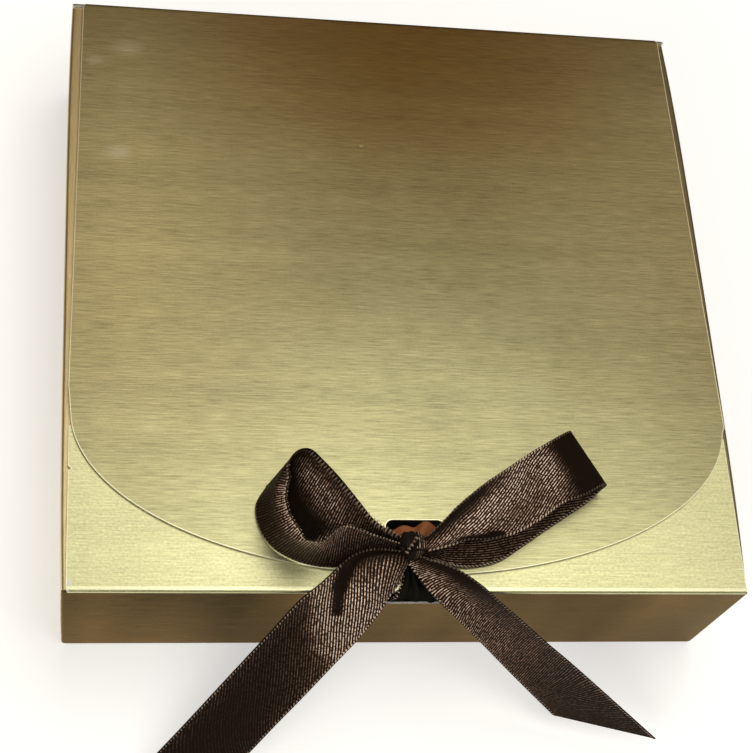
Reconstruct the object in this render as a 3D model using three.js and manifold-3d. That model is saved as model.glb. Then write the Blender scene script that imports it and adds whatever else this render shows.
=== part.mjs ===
// A flat folding gift carton of thin card, closed by a satin ribbon tied in a bow.
// Lengths are millimetres and +Z is up. The origin is the middle of the carton's underside,
// X runs to the right and Y runs from the front wall to the hinged back wall.
import * as THREE from "three";
import { mergeVertices } from "three/addons/utils/BufferGeometryUtils.js";
import Module from "manifold-3d";

const wasm = await Module();
wasm.setup();

// Carton, outside sizes
const cartonWidth = 200;
const cartonDepth = 200;
const cartonHeight = 50;
const board = 0.6;
const seamGap = 0.3;

// How far the upright walls have sprung outwards at their tops
const sideLean = 1.1;
const backLean = 0.8;

// Double side walls: an outer wall, a strip rolled over the top and a wall folded down inside.
// The bulge is how much further than its ends the middle of a wall has sprung out.
const rollWidth = 4.5;
const leftBulge = 0.9;
const rightBulge = 1.5;
const lockTabWidth = 26;
const lockTabSpacing = 96;

// Corner flaps that tuck in between the two layers of each side wall
const cornerFlapLength = 55;
const cornerFlapTaper = 4;

// Lid, hinged along the back wall. Its front edge is half an ellipse between two small shoulders.
const lidBackInset = 1.8;
const lidOverhang = 0.7;
const lidShoulder = 3;
const lidShift = 0.5;
const lidCurveDepth = 50;
const lidSetback = 5;
const lidCorner = 2.5;

// Flap that folds in from the front wall, under the lid
const flapDepth = 58;
const flapOverhang = 0.3;
const flapShift = 0.4;
const flapTaper = 8;
const nickPlace = 37;
const nickWidth = 1.8;
const nickDepth = 0.9;

// Slots that the ribbon is threaded through
const slotWidth = 18;
const slotLength = 10;
const slotSetback = 12;
const slotCorner = 2.4;
const slotMargin = 0.8;
const frontSlotDrop = 11;
const frontSlotHeight = 6;
const frontSlotCorner = 1.2;

// Ribbon and its knot
const ribbonWidth = 20;
const ribbonThickness = 0.4;
const bowOffset = -2.4;
const knotSetback = 11;
const knotWidth = 9.4;
const knotDepth = 10.4;
const knotHeight = 9;

// The knot's roundness as a power, and its pleats as a share of its size and a count
const knotRoundness = 2.7;
const pleatShare = 0.045;
const pleatCount = 2.5;

// Fineness of the curved solids, as counts
const curveSegments = 18;
const wallSteps = 14;
const riseSteps = 4;
const ribbonWidthSteps = 6;
const loopSteps = 60;
const tailSteps = 34;
const frontBandSteps = 24;
const rearBandSteps = 16;
const innerBandSteps = 20;
const knotSegments = 26;
const knotRings = 18;

// Heights and half sizes that the panels share
const halfWidth = cartonWidth / 2;
const halfDepth = cartonDepth / 2;
const lidBottom = cartonHeight - board;
const flapTop = lidBottom - seamGap;
const flapBottom = flapTop - board;
const sideTop = flapBottom - seamGap;
const rollBottom = sideTop - board;
const wallFoot = board + seamGap;
const sideFace = halfWidth - board - seamGap;
const endFace = halfDepth - board - seamGap;
const innerFace = halfWidth - rollWidth;
const slotFront = slotSetback - halfDepth;
const slotMiddle = slotFront + slotLength / 2;
const slotRear = slotFront + slotLength;

const gold = { color: 0xb9ab72, roughness: 0.38, metalness: 0.85 };
const darkGold = { color: 0x8a7850, roughness: 0.42, metalness: 0.85 };
const satin = { color: 0x2e211b, roughness: 0.45, metalness: 0 };

const carton = new THREE.Group();

function add(name, geometry, finish) {
  const mesh = new THREE.Mesh(geometry, new THREE.MeshStandardMaterial(finish));
  mesh.name = name;
  carton.add(mesh);
  return mesh;
}

// Flat card: an outline, given a thickness that grows away from it
function card(outline) {
  return new THREE.ExtrudeGeometry(outline, { depth: board, bevelEnabled: false, curveSegments });
}

function outlineOf(points) {
  return new THREE.Shape(points.map(([x, y]) => new THREE.Vector2(x, y)));
}

function rectangle(left, low, right, high) {
  return outlineOf([[left, low], [right, low], [right, high], [left, high]]);
}

function roundedHole(x, y, width, height, radius) {
  const right = x + width / 2 - radius;
  const left = x - width / 2 + radius;
  const top = y + height / 2 - radius;
  const low = y - height / 2 + radius;
  const hole = new THREE.Path();
  hole.absarc(right, top, radius, 0, Math.PI / 2);
  hole.absarc(left, top, radius, Math.PI / 2, Math.PI);
  hole.absarc(left, low, radius, Math.PI, Math.PI * 1.5);
  hole.absarc(right, low, radius, Math.PI * 1.5, Math.PI * 2);
  hole.closePath();
  return hole;
}

// An outline drawn in X and Z, with its thickness towards the front
function standAcross(geometry) {
  return geometry.rotateX(Math.PI / 2);
}

// An outline drawn in Y and Z, with its thickness towards +X
function standAlong(geometry) {
  const right = new THREE.Vector3(1, 0, 0);
  const back = new THREE.Vector3(0, 1, 0);
  const up = new THREE.Vector3(0, 0, 1);
  return geometry.applyMatrix4(new THREE.Matrix4().makeBasis(back, up, right));
}

// Moves every vertex of a segmented box to the place that a function gives it
function reshape(geometry, placeOf) {
  const position = geometry.attributes.position;
  const point = new THREE.Vector3();
  for (let i = 0; i < position.count; i += 1) {
    point.fromBufferAttribute(position, i);
    const place = placeOf(point);
    position.setXYZ(i, place.x, place.y, place.z);
  }
  return geometry;
}

// Exact solids, for slits through the card and for trimming the ribbon where it meets the knot
function solidOf(geometry) {
  geometry.deleteAttribute("normal");
  geometry.deleteAttribute("uv");
  const merged = mergeVertices(geometry);
  return new wasm.Manifold(new wasm.Mesh({
    numProp: 3,
    vertProperties: new Float32Array(merged.attributes.position.array),
    triVerts: new Uint32Array(merged.index.array),
  }));
}

function geometryOf(solid) {
  const { vertProperties, triVerts } = solid.getMesh();
  const geometry = new THREE.BufferGeometry();
  geometry.setAttribute("position", new THREE.BufferAttribute(new Float32Array(vertProperties), 3));
  geometry.setIndex(new THREE.BufferAttribute(new Uint32Array(triVerts), 1));
  return geometry;
}

// Bottom panel, with the slits that hold the inner walls' lock tabs
const slitWidth = board + seamGap + seamGap;
const slitLength = lockTabWidth + seamGap + seamGap;
const slitMiddle = innerFace + board / 2;
const tabMiddles = [-lockTabSpacing / 2, lockTabSpacing / 2];
let bottom = solidOf(card(rectangle(-halfWidth, -halfDepth, halfWidth, halfDepth)));
for (const side of [-1, 1]) {
  for (const middle of tabMiddles) {
    const slit = new THREE.BoxGeometry(slitWidth, slitLength, cartonHeight);
    bottom = bottom.subtract(solidOf(slit.translate(side * slitMiddle, middle, 0)));
  }
}
add("bottom_panel", geometryOf(bottom), gold);

// An end wall, as wide at its foot as the carton and wider at its top, where the sides lean out
function endOutline(top) {
  const topReach = halfWidth + sideLean;
  return outlineOf([[-halfWidth, wallFoot], [halfWidth, wallFoot], [topReach, top], [-topReach, top]]);
}

// Front wall, with the slot that the ribbon goes in through
const frontSlotMiddle = cartonHeight - frontSlotDrop + frontSlotHeight / 2;
const front = endOutline(sideTop);
front.holes.push(roundedHole(0, frontSlotMiddle, slotWidth, frontSlotHeight, frontSlotCorner));
add("front_wall", standAcross(card(front)), darkGold).position.y = board - halfDepth;

// Back wall, which reaches up to the lid's hinge crease and leans out a little
const back = reshape(standAcross(card(endOutline(flapTop))), (point) => {
  point.y += (backLean * (point.z - wallFoot)) / (flapTop - wallFoot);
  return point;
});
add("back_wall", back, darkGold).position.y = halfDepth;

// How far the top of a side wall has sprung out at a place along it
function spread(y, bulge) {
  return sideLean + bulge * (1 - (y / halfDepth) ** 4);
}

function outerWall(side, bulge) {
  const top = rollBottom - seamGap;
  const height = top - wallFoot;
  const wall = new THREE.BoxGeometry(board, endFace + endFace, height, 1, wallSteps, riseSteps);
  return reshape(wall, (point) => {
    const riseShare = point.z / height + 0.5;
    const bow = spread(point.y, bulge) * Math.sin((riseShare * Math.PI) / 2);
    point.x += side * (halfWidth - board / 2 + bow);
    point.z += wallFoot + height / 2;
    return point;
  });
}

// The strip over a side wall: straight on the inside, and as bowed as the wall on the outside
function wallTop(side, bulge) {
  const strip = new THREE.BoxGeometry(1, endFace + endFace, board, 1, wallSteps, 1);
  return reshape(strip, (point) => {
    const outward = 0.5 + side * point.x;
    const outerEdge = halfWidth + spread(point.y, bulge);
    point.x = side * THREE.MathUtils.lerp(innerFace, outerEdge, outward);
    point.z += sideTop - board / 2;
    return point;
  });
}

function innerWall() {
  const points = [[endFace, rollBottom - seamGap], [-endFace, rollBottom - seamGap], [-endFace, wallFoot]];
  for (const middle of tabMiddles) {
    const start = middle - lockTabWidth / 2;
    const end = middle + lockTabWidth / 2;
    points.push([start, wallFoot], [start, 0], [end, 0], [end, wallFoot]);
  }
  points.push([endFace, wallFoot]);
  return standAlong(card(outlineOf(points)));
}

function cornerFlap(end) {
  const root = end * endFace;
  const tip = end * (endFace - cornerFlapLength);
  const top = rollBottom - seamGap;
  return standAlong(card(outlineOf([
    [root, wallFoot],
    [tip, wallFoot + cornerFlapTaper],
    [tip, top - cornerFlapTaper],
    [root, top],
  ])));
}

const sides = [
  { name: "left", side: -1, bulge: leftBulge },
  { name: "right", side: 1, bulge: rightBulge },
];
for (const { name, side, bulge } of sides) {
  const onLeft = side < 0;
  add(`${name}_outer_wall`, outerWall(side, bulge), darkGold);
  add(`${name}_wall_top`, wallTop(side, bulge), gold);
  const inner = add(`${name}_inner_wall`, innerWall(), gold);
  inner.position.x = onLeft ? -innerFace - board : innerFace;
  for (const [endName, end] of [["front", -1], ["back", 1]]) {
    const flap = add(`${endName}_${name}_corner_flap`, cornerFlap(end), gold);
    flap.position.x = onLeft ? -sideFace : sideFace - board;
  }
}

// Front flap, lying under the lid, with a small nick in its left edge
const flapLeft = flapShift - flapOverhang - halfWidth;
const flapRight = flapShift + flapOverhang + halfWidth;
const flapRear = flapDepth - halfDepth;
const nickMiddle = nickPlace - halfDepth;
const flap = outlineOf([
  [flapLeft, -halfDepth],
  [flapRight, -halfDepth],
  [flapRight, flapRear - flapTaper],
  [flapRight - flapTaper, flapRear],
  [flapLeft + flapTaper, flapRear],
  [flapLeft, flapRear - flapTaper],
  [flapLeft, nickMiddle + nickWidth / 2],
  [flapLeft + nickDepth, nickMiddle],
  [flapLeft, nickMiddle - nickWidth / 2],
]);
const flapSlotWidth = slotWidth + slotMargin;
const flapSlotLength = slotLength + slotMargin;
flap.holes.push(roundedHole(0, slotMiddle, flapSlotWidth, flapSlotLength, slotCorner));
add("front_flap", card(flap), gold).position.z = flapBottom;

// Lid, narrower at its hinge than at its shoulders, where its curved front begins
const lidCurveMiddle = lidSetback + lidCurveDepth - halfDepth;
const shoulderAngle = Math.asin(lidShoulder / lidCurveDepth);
const lidRear = halfDepth + backLean;
const lidLeft = lidShift - lidOverhang - halfWidth;
const lidRight = lidShift + lidOverhang + halfWidth;
const lidBackLeft = lidShift + lidBackInset - halfWidth;
const lidBackRight = lidShift - lidBackInset + halfWidth;
const curveStart = Math.PI + shoulderAngle;
const curveEnd = Math.PI * 2 - shoulderAngle;
const lid = new THREE.Shape();
lid.moveTo(lidBackLeft, lidRear - lidCorner);
lid.lineTo(lidLeft, lidCurveMiddle - lidShoulder / 2);
lid.absellipse(lidShift, lidCurveMiddle, halfWidth, lidCurveDepth, curveStart, curveEnd);
lid.lineTo(lidRight, lidCurveMiddle - lidShoulder / 2);
lid.lineTo(lidBackRight, lidRear - lidCorner);
lid.quadraticCurveTo(lidBackRight, lidRear, lidBackRight - lidCorner, lidRear);
lid.lineTo(lidBackLeft + lidCorner, lidRear);
lid.quadraticCurveTo(lidBackLeft, lidRear, lidBackLeft, lidRear - lidCorner);
lid.holes.push(roundedHole(lidShift, slotMiddle, slotWidth, slotLength, slotCorner));
add("lid_panel", card(lid), gold).position.z = lidBottom;

// The knot: a boxy pebble, with pleats that run over it from front to back
const knotMiddle = new THREE.Vector3(
  bowOffset,
  knotSetback - halfDepth,
  cartonHeight + seamGap + knotHeight / 2,
);
function knotShape(clearance) {
  const pebble = new THREE.SphereGeometry(1, knotSegments, knotRings);
  return reshape(pebble, ({ x, y, z }) => {
    const sum = [x, y, z].reduce((total, part) => total + Math.abs(part) ** knotRoundness, 0);
    const pleat = 1 - pleatShare + pleatShare * Math.cos(2 * Math.PI * pleatCount * x);
    const reach = pleat / sum ** (1 / knotRoundness);
    return new THREE.Vector3(
      knotMiddle.x + x * reach * (knotWidth / 2 + clearance),
      knotMiddle.y + y * reach * (knotDepth / 2 + clearance),
      knotMiddle.z + z * reach * (knotHeight / 2 + clearance),
    );
  });
}

add("ribbon_knot", knotShape(0), satin);
const knotRoom = solidOf(knotShape(seamGap));

// A length of ribbon between two edges. Crown lifts its middle and pleat folds it in an S,
// both as shares of the ribbon's width, given at each place that the edges go through.
function ribbonStrip({ left, right, crown, pleat }, lengthSteps) {
  const leftEdge = new THREE.CatmullRomCurve3(left);
  const rightEdge = new THREE.CatmullRomCurve3(right);
  const fold = new THREE.CatmullRomCurve3(left.map((_, i) => new THREE.Vector3(crown[i], pleat[i], 0)));
  const step = 1 / (lengthSteps * 4);

  function middle(u) {
    return leftEdge.getPoint(u).lerp(rightEdge.getPoint(u), 0.5);
  }

  function surface(u, across) {
    const start = leftEdge.getPoint(u);
    const end = rightEdge.getPoint(u);
    const along = middle(Math.min(u + step, 1)).sub(middle(Math.max(u - step, 0)));
    const lift = new THREE.Vector3().subVectors(end, start).cross(along).normalize();
    const { x: crownHere, y: pleatHere } = fold.getPoint(u);
    const height = crownHere * Math.sin(Math.PI * across) + pleatHere * Math.sin(2 * Math.PI * across);
    return start.lerp(end, across).addScaledVector(lift, height * ribbonWidth);
  }

  const strip = new THREE.BoxGeometry(1, 1, 1, lengthSteps, 1, ribbonWidthSteps);
  return reshape(strip, (point) => {
    const u = point.x + 0.5;
    const across = point.z + 0.5;
    const place = surface(u, across);
    const along = surface(Math.min(u + step, 1), across).sub(surface(Math.max(u - step, 0), across));
    const over = surface(u, Math.min(across + step, 1)).sub(surface(u, Math.max(across - step, 0)));
    const normal = over.cross(along).normalize();
    return place.addScaledVector(normal, point.y * ribbonThickness);
  });
}

function trimmed(geometry) {
  return geometryOf(solidOf(geometry).subtract(knotRoom));
}

// A place on the bow. X is measured from the knot and Y from the front wall, in ribbon widths.
// Z is in ribbon widths above the lid, or in carton heights below it when it is negative.
function bowPoint([x, y, z]) {
  const height = z > 0 ? cartonHeight + z * ribbonWidth : cartonHeight + z * cartonHeight;
  return new THREE.Vector3(bowOffset + x * ribbonWidth, y * ribbonWidth - halfDepth, height);
}

function bowStrip(shares, lengthSteps) {
  return trimmed(ribbonStrip({
    left: shares.map(([left]) => bowPoint(left)),
    right: shares.map(([, right]) => bowPoint(right)),
    crown: shares.map(([, , crown]) => crown),
    pleat: shares.map(([, , , pleat]) => pleat),
  }, lengthSteps));
}

// Left loop, standing on its lower edge: lower edge, upper edge, crown, pleat
const leftLoopShares = [
  [[-0.13, 0.54, 0.14], [-0.13, 0.56, 0.41], 0, 0.02],
  [[-0.53, 0.50, 0.07], [-0.60, 0.59, 0.70], -0.03, 0.03],
  [[-0.90, 0.37, 0.045], [-1.10, 0.66, 0.94], -0.04, 0.02],
  [[-1.33, 0.36, 0.04], [-1.43, 0.39, 1.02], -0.05, 0],
  [[-1.73, 0.48, 0.04], [-1.74, 0.44, 1.03], -0.05, 0],
  [[-2.01, 0.68, 0.04], [-1.92, 0.66, 1.03], -0.04, 0],
  [[-2.17, 0.99, 0.04], [-2.00, 0.98, 1.03], -0.03, 0],
  [[-2.19, 1.30, 0.045], [-1.97, 1.23, 1.03], -0.02, 0],
  [[-2.06, 1.525, 0.05], [-1.86, 1.515, 1.025], -0.01, 0],
  [[-2.02, 1.58, 0.05], [-1.69, 1.77, 0.925], 0, 0],
  [[-1.97, 1.45, 0.045], [-1.48, 1.86, 0.775], 0, 0],
  [[-1.93, 1.12, 0.04], [-1.26, 1.74, 0.625], 0, 0],
  [[-1.68, 0.80, 0.04], [-1.00, 1.49, 0.525], 0.02, 0],
  [[-1.21, 0.67, 0.04], [-0.75, 1.19, 0.45], 0.03, 0],
  [[-0.695, 0.675, 0.07], [-0.52, 0.945, 0.35], 0.02, 0.02],
  [[-0.13, 0.60, 0.15], [-0.13, 0.66, 0.375], 0, 0.02],
];

// Right loop, lying low: front edge, rear edge, crown, pleat
const rightLoopShares = [
  [[0.17, 0.48, 0.36], [0.17, 0.66, 0.37], 0.02, 0.02],
  [[0.49, 0.52, 0.48], [0.45, 0.90, 0.47], 0.04, 0.04],
  [[0.77, 0.57, 0.57], [0.65, 1.10, 0.53], 0.06, 0.04],
  [[1.07, 0.56, 0.61], [0.86, 1.28, 0.55], 0.06, 0.03],
  [[1.47, 0.67, 0.625], [1.10, 1.47, 0.55], 0.05, 0.02],
  [[1.84, 0.87, 0.625], [1.45, 1.71, 0.54], 0.04, 0],
  [[2.23, 1.15, 0.59], [1.78, 1.94, 0.52], 0.03, 0],
  [[2.62, 1.32, 0.51], [2.14, 2.17, 0.47], 0.01, 0],
  [[2.95, 1.52, 0.39], [2.48, 2.39, 0.36], 0, 0],
  [[3.05, 1.58, 0.25], [2.58, 2.46, 0.25], 0, 0],
  [[2.99, 1.55, 0.11], [2.52, 2.42, 0.11], 0, 0],
  [[2.80, 1.39, 0.05], [2.29, 2.25, 0.05], 0, 0],
  [[2.46, 1.17, 0.04], [1.95, 2.03, 0.04], 0, 0],
  [[2.00, 0.87, 0.04], [1.48, 1.72, 0.04], 0, 0],
  [[1.66, 0.64, 0.04], [1.14, 1.48, 0.04], 0, 0],
  [[1.32, 0.44, 0.045], [0.83, 1.23, 0.04], -0.02, 0],
  [[0.89, 0.355, 0.05], [0.56, 0.98, 0.05], -0.03, 0.01],
  [[0.55, 0.39, 0.08], [0.39, 0.77, 0.07], -0.02, 0.02],
  [[0.15, 0.47, 0.15], [0.15, 0.64, 0.15], 0, 0.02],
];

// Left tail, over the front fold and down to the left: outer edge, inner edge, crown, pleat
const leftTailShares = [
  [[-0.13, 0.48, 0.36], [-0.06, 0.36, 0.22], 0, 0.02],
  [[-0.63, 0.45, 0.53], [-0.14, 0.20, 0.22], -0.03, 0.08],
  [[-0.96, 0.35, 0.54], [-0.20, 0.06, 0.18], -0.02, 0.10],
  [[-1.12, 0.21, 0.42], [-0.32, -0.10, 0.13], 0, 0.09],
  [[-1.32, 0.05, 0.26], [-0.46, -0.30, -0.015], 0.02, 0.07],
  [[-1.62, -0.15, 0.05], [-0.72, -0.57, -0.18], 0.03, 0.04],
  [[-1.97, -0.46, -0.13], [-1.07, -0.88, -0.33], 0.02, 0.02],
  [[-2.32, -0.77, -0.28], [-1.42, -1.19, -0.48], 0.01, 0],
  [[-2.67, -1.08, -0.43], [-1.78, -1.50, -0.62], 0, 0],
  [[-3.02, -1.40, -0.57], [-2.04, -1.73, -0.73], 0, 0],
  [[-3.57, -1.88, -0.80], [-2.28, -1.94, -0.83], 0, 0],
];

// Right tail, over the front fold and down to the right: inner edge, outer edge, crown, pleat
const rightTailShares = [
  [[-0.05, 0.37, 0.20], [0.14, 0.40, 0.31], 0, 0.02],
  [[0.08, 0.14, 0.22], [0.62, 0.22, 0.36], 0.08, 0.04],
  [[0.35, -0.135, 0.07], [1.00, 0, 0.27], 0.10, 0.03],
  [[0.80, -0.34, -0.16], [1.22, -0.115, 0.10], 0.09, 0.02],
  [[1.27, -0.52, -0.38], [1.665, -0.34, -0.094], 0.06, 0],
  [[1.72, -0.73, -0.575], [2.105, -0.57, -0.228], 0.03, 0],
  [[2.145, -0.98, -0.72], [2.60, -0.81, -0.375], 0.01, 0],
  [[2.59, -1.26, -0.856], [4.21, -1.645, -0.866], 0, 0],
];

add("ribbon_left_loop", bowStrip(leftLoopShares, loopSteps), satin);
add("ribbon_right_loop", bowStrip(rightLoopShares, loopSteps), satin);
add("ribbon_left_tail", bowStrip(leftTailShares, tailSteps), satin);
add("ribbon_right_tail", bowStrip(rightTailShares, tailSteps), satin);

// The band that holds the carton shut, in three lengths that meet at the slots.
// Each place says how far the ribbon's edges reach, as shares of the slot's width.
function bandStrip(places, lengthSteps) {
  return ribbonStrip({
    left: places.map(([leftShare, , y, z]) => new THREE.Vector3(leftShare * slotWidth, y, z)),
    right: places.map(([, rightShare, y, z]) => new THREE.Vector3(rightShare * slotWidth, y, z)),
    crown: places.map(([, , , , crown]) => crown),
    pleat: places.map(([, , , , , pleat]) => pleat),
  }, lengthSteps);
}

const bandRise = seamGap + ribbonThickness;
const overLid = cartonHeight + bandRise;
const frontOfFold = -halfDepth - bandRise;
const frontSlotTop = frontSlotMiddle + frontSlotHeight / 2;
const knotQuarter = knotDepth / 4;
const knotFront = knotMiddle.y - knotQuarter;
const knotRear = knotMiddle.y + knotQuarter;

// From the knot forwards, over the front fold and down to the front wall's slot.
// Each place: left share, right share, Y, Z, crown, pleat.
const frontBandPlaces = [
  [-0.23, 0, knotFront, overLid + bandRise, 0, 0.01],
  [-0.26, 0.12, lidSetback / 2 - halfDepth, overLid, 0.01, 0.01],
  [-0.32, 0.22, board - halfDepth, overLid - seamGap, 0.01, 0.01],
  [-0.37, 0.31, frontOfFold - seamGap, flapTop, 0.01, 0.01],
  [-0.42, 0.38, frontOfFold - board, frontSlotTop, 0, 0.015],
  [-0.455, 0.42, frontOfFold, frontSlotMiddle, 0, 0.015],
];
add("ribbon_front_band", trimmed(bandStrip(frontBandPlaces, frontBandSteps)), satin);

// From the back of the knot down through the slots of the lid and the flap
const slotStep = slotLength / 10;
const rearBandFoot = flapBottom - bandRise;
const rearBandStart = cartonHeight + knotHeight / 4;
const rearBandPlaces = [
  [-0.23, -0.04, knotRear, rearBandStart, 0, 0.01],
  [-0.40, 0.20, slotMiddle, cartonHeight + ribbonThickness + ribbonThickness, -0.04, 0],
  [-0.44, 0.34, slotMiddle + slotStep, lidBottom, -0.07, 0],
  [-0.455, 0.38, slotMiddle + slotStep + slotStep, rearBandFoot, -0.08, 0],
];
add("ribbon_rear_band", trimmed(bandStrip(rearBandPlaces, rearBandSteps)), satin);

// Inside the carton, from the front wall's slot up to the slot of the flap
const innerBandTop = rearBandFoot - bandRise - seamGap;
const innerBandClimb = innerBandTop - frontSlotMiddle;
const innerBandPlaces = [
  [-0.455, 0.42, seamGap - halfDepth, frontSlotMiddle, 0, 0.015],
  [-0.45, 0.42, slotFront / 2 - halfDepth / 2, frontSlotMiddle, 0, 0.01],
  [-0.45, 0.41, slotFront, frontSlotMiddle + bandRise + bandRise, 0.01, 0],
  [-0.45, 0.39, slotMiddle, innerBandTop - innerBandClimb / 3, 0.01, 0],
  [-0.45, 0.38, slotMiddle + slotStep + slotStep, innerBandTop, 0.01, 0],
];
add("ribbon_inner_band", bandStrip(innerBandPlaces, innerBandSteps), satin);

export default carton;
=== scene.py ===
# %% [markdown]
# # A folding gift carton tied with a satin bow
#
# The carton is one flat blank of metallic card, creased and folded into a shallow square box.
# Its lid has a curved front edge and tucks over a flap, and a dark satin ribbon holds it shut.
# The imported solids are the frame. Every piece below sits where a solid of the frame says.

# %% Load the frame
import math
from itertools import product

import bmesh
import bpy
from mathutils import Matrix, Vector


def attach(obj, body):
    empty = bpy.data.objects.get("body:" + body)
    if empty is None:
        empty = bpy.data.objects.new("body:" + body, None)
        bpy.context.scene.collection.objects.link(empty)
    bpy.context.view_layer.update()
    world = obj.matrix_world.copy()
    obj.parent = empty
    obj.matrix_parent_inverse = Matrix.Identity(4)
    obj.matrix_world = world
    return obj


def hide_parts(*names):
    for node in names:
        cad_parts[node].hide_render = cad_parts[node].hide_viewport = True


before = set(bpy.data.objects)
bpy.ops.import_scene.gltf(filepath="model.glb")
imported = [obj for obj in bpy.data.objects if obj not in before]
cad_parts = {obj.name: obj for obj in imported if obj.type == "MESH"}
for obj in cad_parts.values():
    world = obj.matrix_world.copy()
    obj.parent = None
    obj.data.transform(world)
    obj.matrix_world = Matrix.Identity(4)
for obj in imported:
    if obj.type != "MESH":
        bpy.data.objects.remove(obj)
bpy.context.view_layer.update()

MM = 0.001
SEED = 4


def add_object(name, data):
    """An object at the origin, linked to the scene."""
    made = bpy.data.objects.new(name, data)
    bpy.context.collection.objects.link(made)
    return made


def settled_mesh(holder):
    """The mesh that an object ends up with. The object itself is removed."""
    graph = bpy.context.evaluated_depsgraph_get()
    mesh = bpy.data.meshes.new_from_object(holder.evaluated_get(graph))
    bpy.data.objects.remove(holder)
    return mesh


def finished_mesh(name, work, materials, sharp_angle=180):
    """A mesh from a bmesh, with its materials, and sharp where it bends by more than the angle."""
    mesh = bpy.data.meshes.new(name)
    work.to_mesh(mesh)
    work.free()
    mesh.set_sharp_from_angle(angle=math.radians(sharp_angle))
    for material in materials:
        mesh.materials.append(material)
    return mesh


# %% [markdown]
# ## Camera
#
# A camera could be placed by eye, but a box gives a better way: its eight corners in the
# picture fix where the lens stood, in millimetres. The three directions below are the columns
# of its turn.

# %% Place the camera
LENS_PLACE = Vector((-108.09, -258.38, 518.66))
camera_data = bpy.data.cameras.new("camera")
camera_data.lens = 83.62
camera_data.sensor_width = 36
camera_data.clip_start = 0.05
camera_data.clip_end = 20
camera = add_object("camera", camera_data)
view_right = Vector((0.98177226, -0.05846574, 0.18084519))
view_up = Vector((-0.02563101, 0.90209097, 0.43078409))
view_back = Vector((-0.18832492, -0.42756711, 0.88414936))
camera.matrix_world = (
    Matrix.Translation(LENS_PLACE * MM)
    @ Matrix((view_right, view_up, view_back)).transposed().to_4x4()
)
bpy.context.scene.camera = camera
print("camera stands", round(camera.location.length, 3), "m from the carton's foot")

# %% [markdown]
# ## Light
#
# Brushed foil shows mostly what it mirrors, so the light matters more than the colour here.
# One wide soft lamp hangs over the carton, and the far side of the room stays dim. The front of
# the lid then mirrors the lamp, and the back of the lid doesn't. A pale backdrop would wash the
# foil out, so the camera alone sees pale walls, and the foil mirrors the dim ones.

# %% Light the room
DIM_WALLS = (0.150, 0.130, 0.105, 1)
PALE_WALLS = (0.93, 0.93, 0.92, 1)
PALE_WARM = (1, 0.985, 0.93)
WARM = (1, 0.96, 0.9)
scene = bpy.context.scene
scene.view_settings.view_transform = "Standard"


def soft_lamp(name, place, aim, size, watts, colour):
    lamp = bpy.data.lights.new(name, "AREA")
    lamp.shape = "RECTANGLE"
    lamp.size, lamp.size_y = size
    lamp.energy = watts
    lamp.color = colour
    holder = add_object(name, lamp)
    holder.location = place
    holder.rotation_euler = (Vector(aim) - Vector(place)).to_track_quat("-Z", "Y").to_euler()
    print(name, "shines with", watts, "W")


soft_lamp("overhead_lamp", (0.19, 0.02, 0.95), (0.065, 0, 0.03), (1.28, 0.62), 5.8, PALE_WARM)
soft_lamp("front_lamp", (-0.7, -0.9, 0.75), (0, 0, 0.03), (0.8, 0.5), 4.4, WARM)

world = bpy.data.worlds.new("room")
world.use_nodes = True
room = world.node_tree.nodes
eye = room.new("ShaderNodeLightPath")
walls = room.new("ShaderNodeMix")
walls.data_type = "RGBA"
walls.inputs[6].default_value = DIM_WALLS
walls.inputs[7].default_value = PALE_WALLS
world.node_tree.links.new(eye.outputs["Is Camera Ray"], walls.inputs[0])
world.node_tree.links.new(walls.outputs[2], room["Background"].inputs["Color"])
scene.world = world

# %% [markdown]
# ## Writing materials as sums
#
# A material is a graph of nodes. Linking each node by hand makes long code that hides the idea.
# A small class wraps a socket, so that a sum in Python becomes Math nodes in the graph. The same
# class serves the tree of Geometry Nodes further down.

# %% Wrap sockets and materials


class Value:
    """A socket of a graph, which adds Math nodes when it is used in a sum."""

    def __init__(self, graph, socket):
        self.graph = graph
        self.socket = socket

    def math(self, operation, *others):
        values = dict(enumerate((self, *others)))
        return self.graph.node("ShaderNodeMath", {"operation": operation}, values)

    def __add__(self, other):
        return self.math("ADD", other)

    def __sub__(self, other):
        return self.math("SUBTRACT", other)

    def __mul__(self, other):
        return self.math("MULTIPLY", other)

    def __rsub__(self, other):
        return self.graph.node("ShaderNodeMath", {"operation": "SUBTRACT"}, {0: other, 1: self})

    __radd__ = __add__
    __rmul__ = __mul__

    def limited(self):
        return self.math("MAXIMUM", 0.0).math("MINIMUM", 1.0)

    def step(self, start, end):
        """A soft step from 0 at start to 1 at end."""
        settings = {"interpolation_type": "SMOOTHSTEP", "clamp": True}
        values = {"Value": self, "From Min": start, "From Max": end, "To Min": 0.0, "To Max": 1.0}
        return self.graph.node("ShaderNodeMapRange", settings, values)


class Graph:
    """A tree of nodes, which makes any node from its type, its settings and its inputs."""

    def __init__(self, tree):
        self.tree = tree

    def node(self, kind, settings=None, values=None, output=0):
        made = self.tree.nodes.new(kind)
        for key, setting in (settings or {}).items():
            setattr(made, key, setting)
        for key, value in (values or {}).items():
            self.feed(made.inputs[key], value)
        return Value(self, made.outputs[output])

    def feed(self, socket, value):
        if isinstance(value, Value):
            self.tree.links.new(value.socket, socket)
        elif socket.type == "RGBA" and len(value) == 3:
            socket.default_value = (*value, 1)
        else:
            socket.default_value = value

    def vector(self, x, y, z=0.0):
        return self.node("ShaderNodeCombineXYZ", values={0: x, 1: y, 2: z})

    def length(self, vector):
        return self.node("ShaderNodeVectorMath", {"operation": "LENGTH"}, {0: vector}, "Value")


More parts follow.
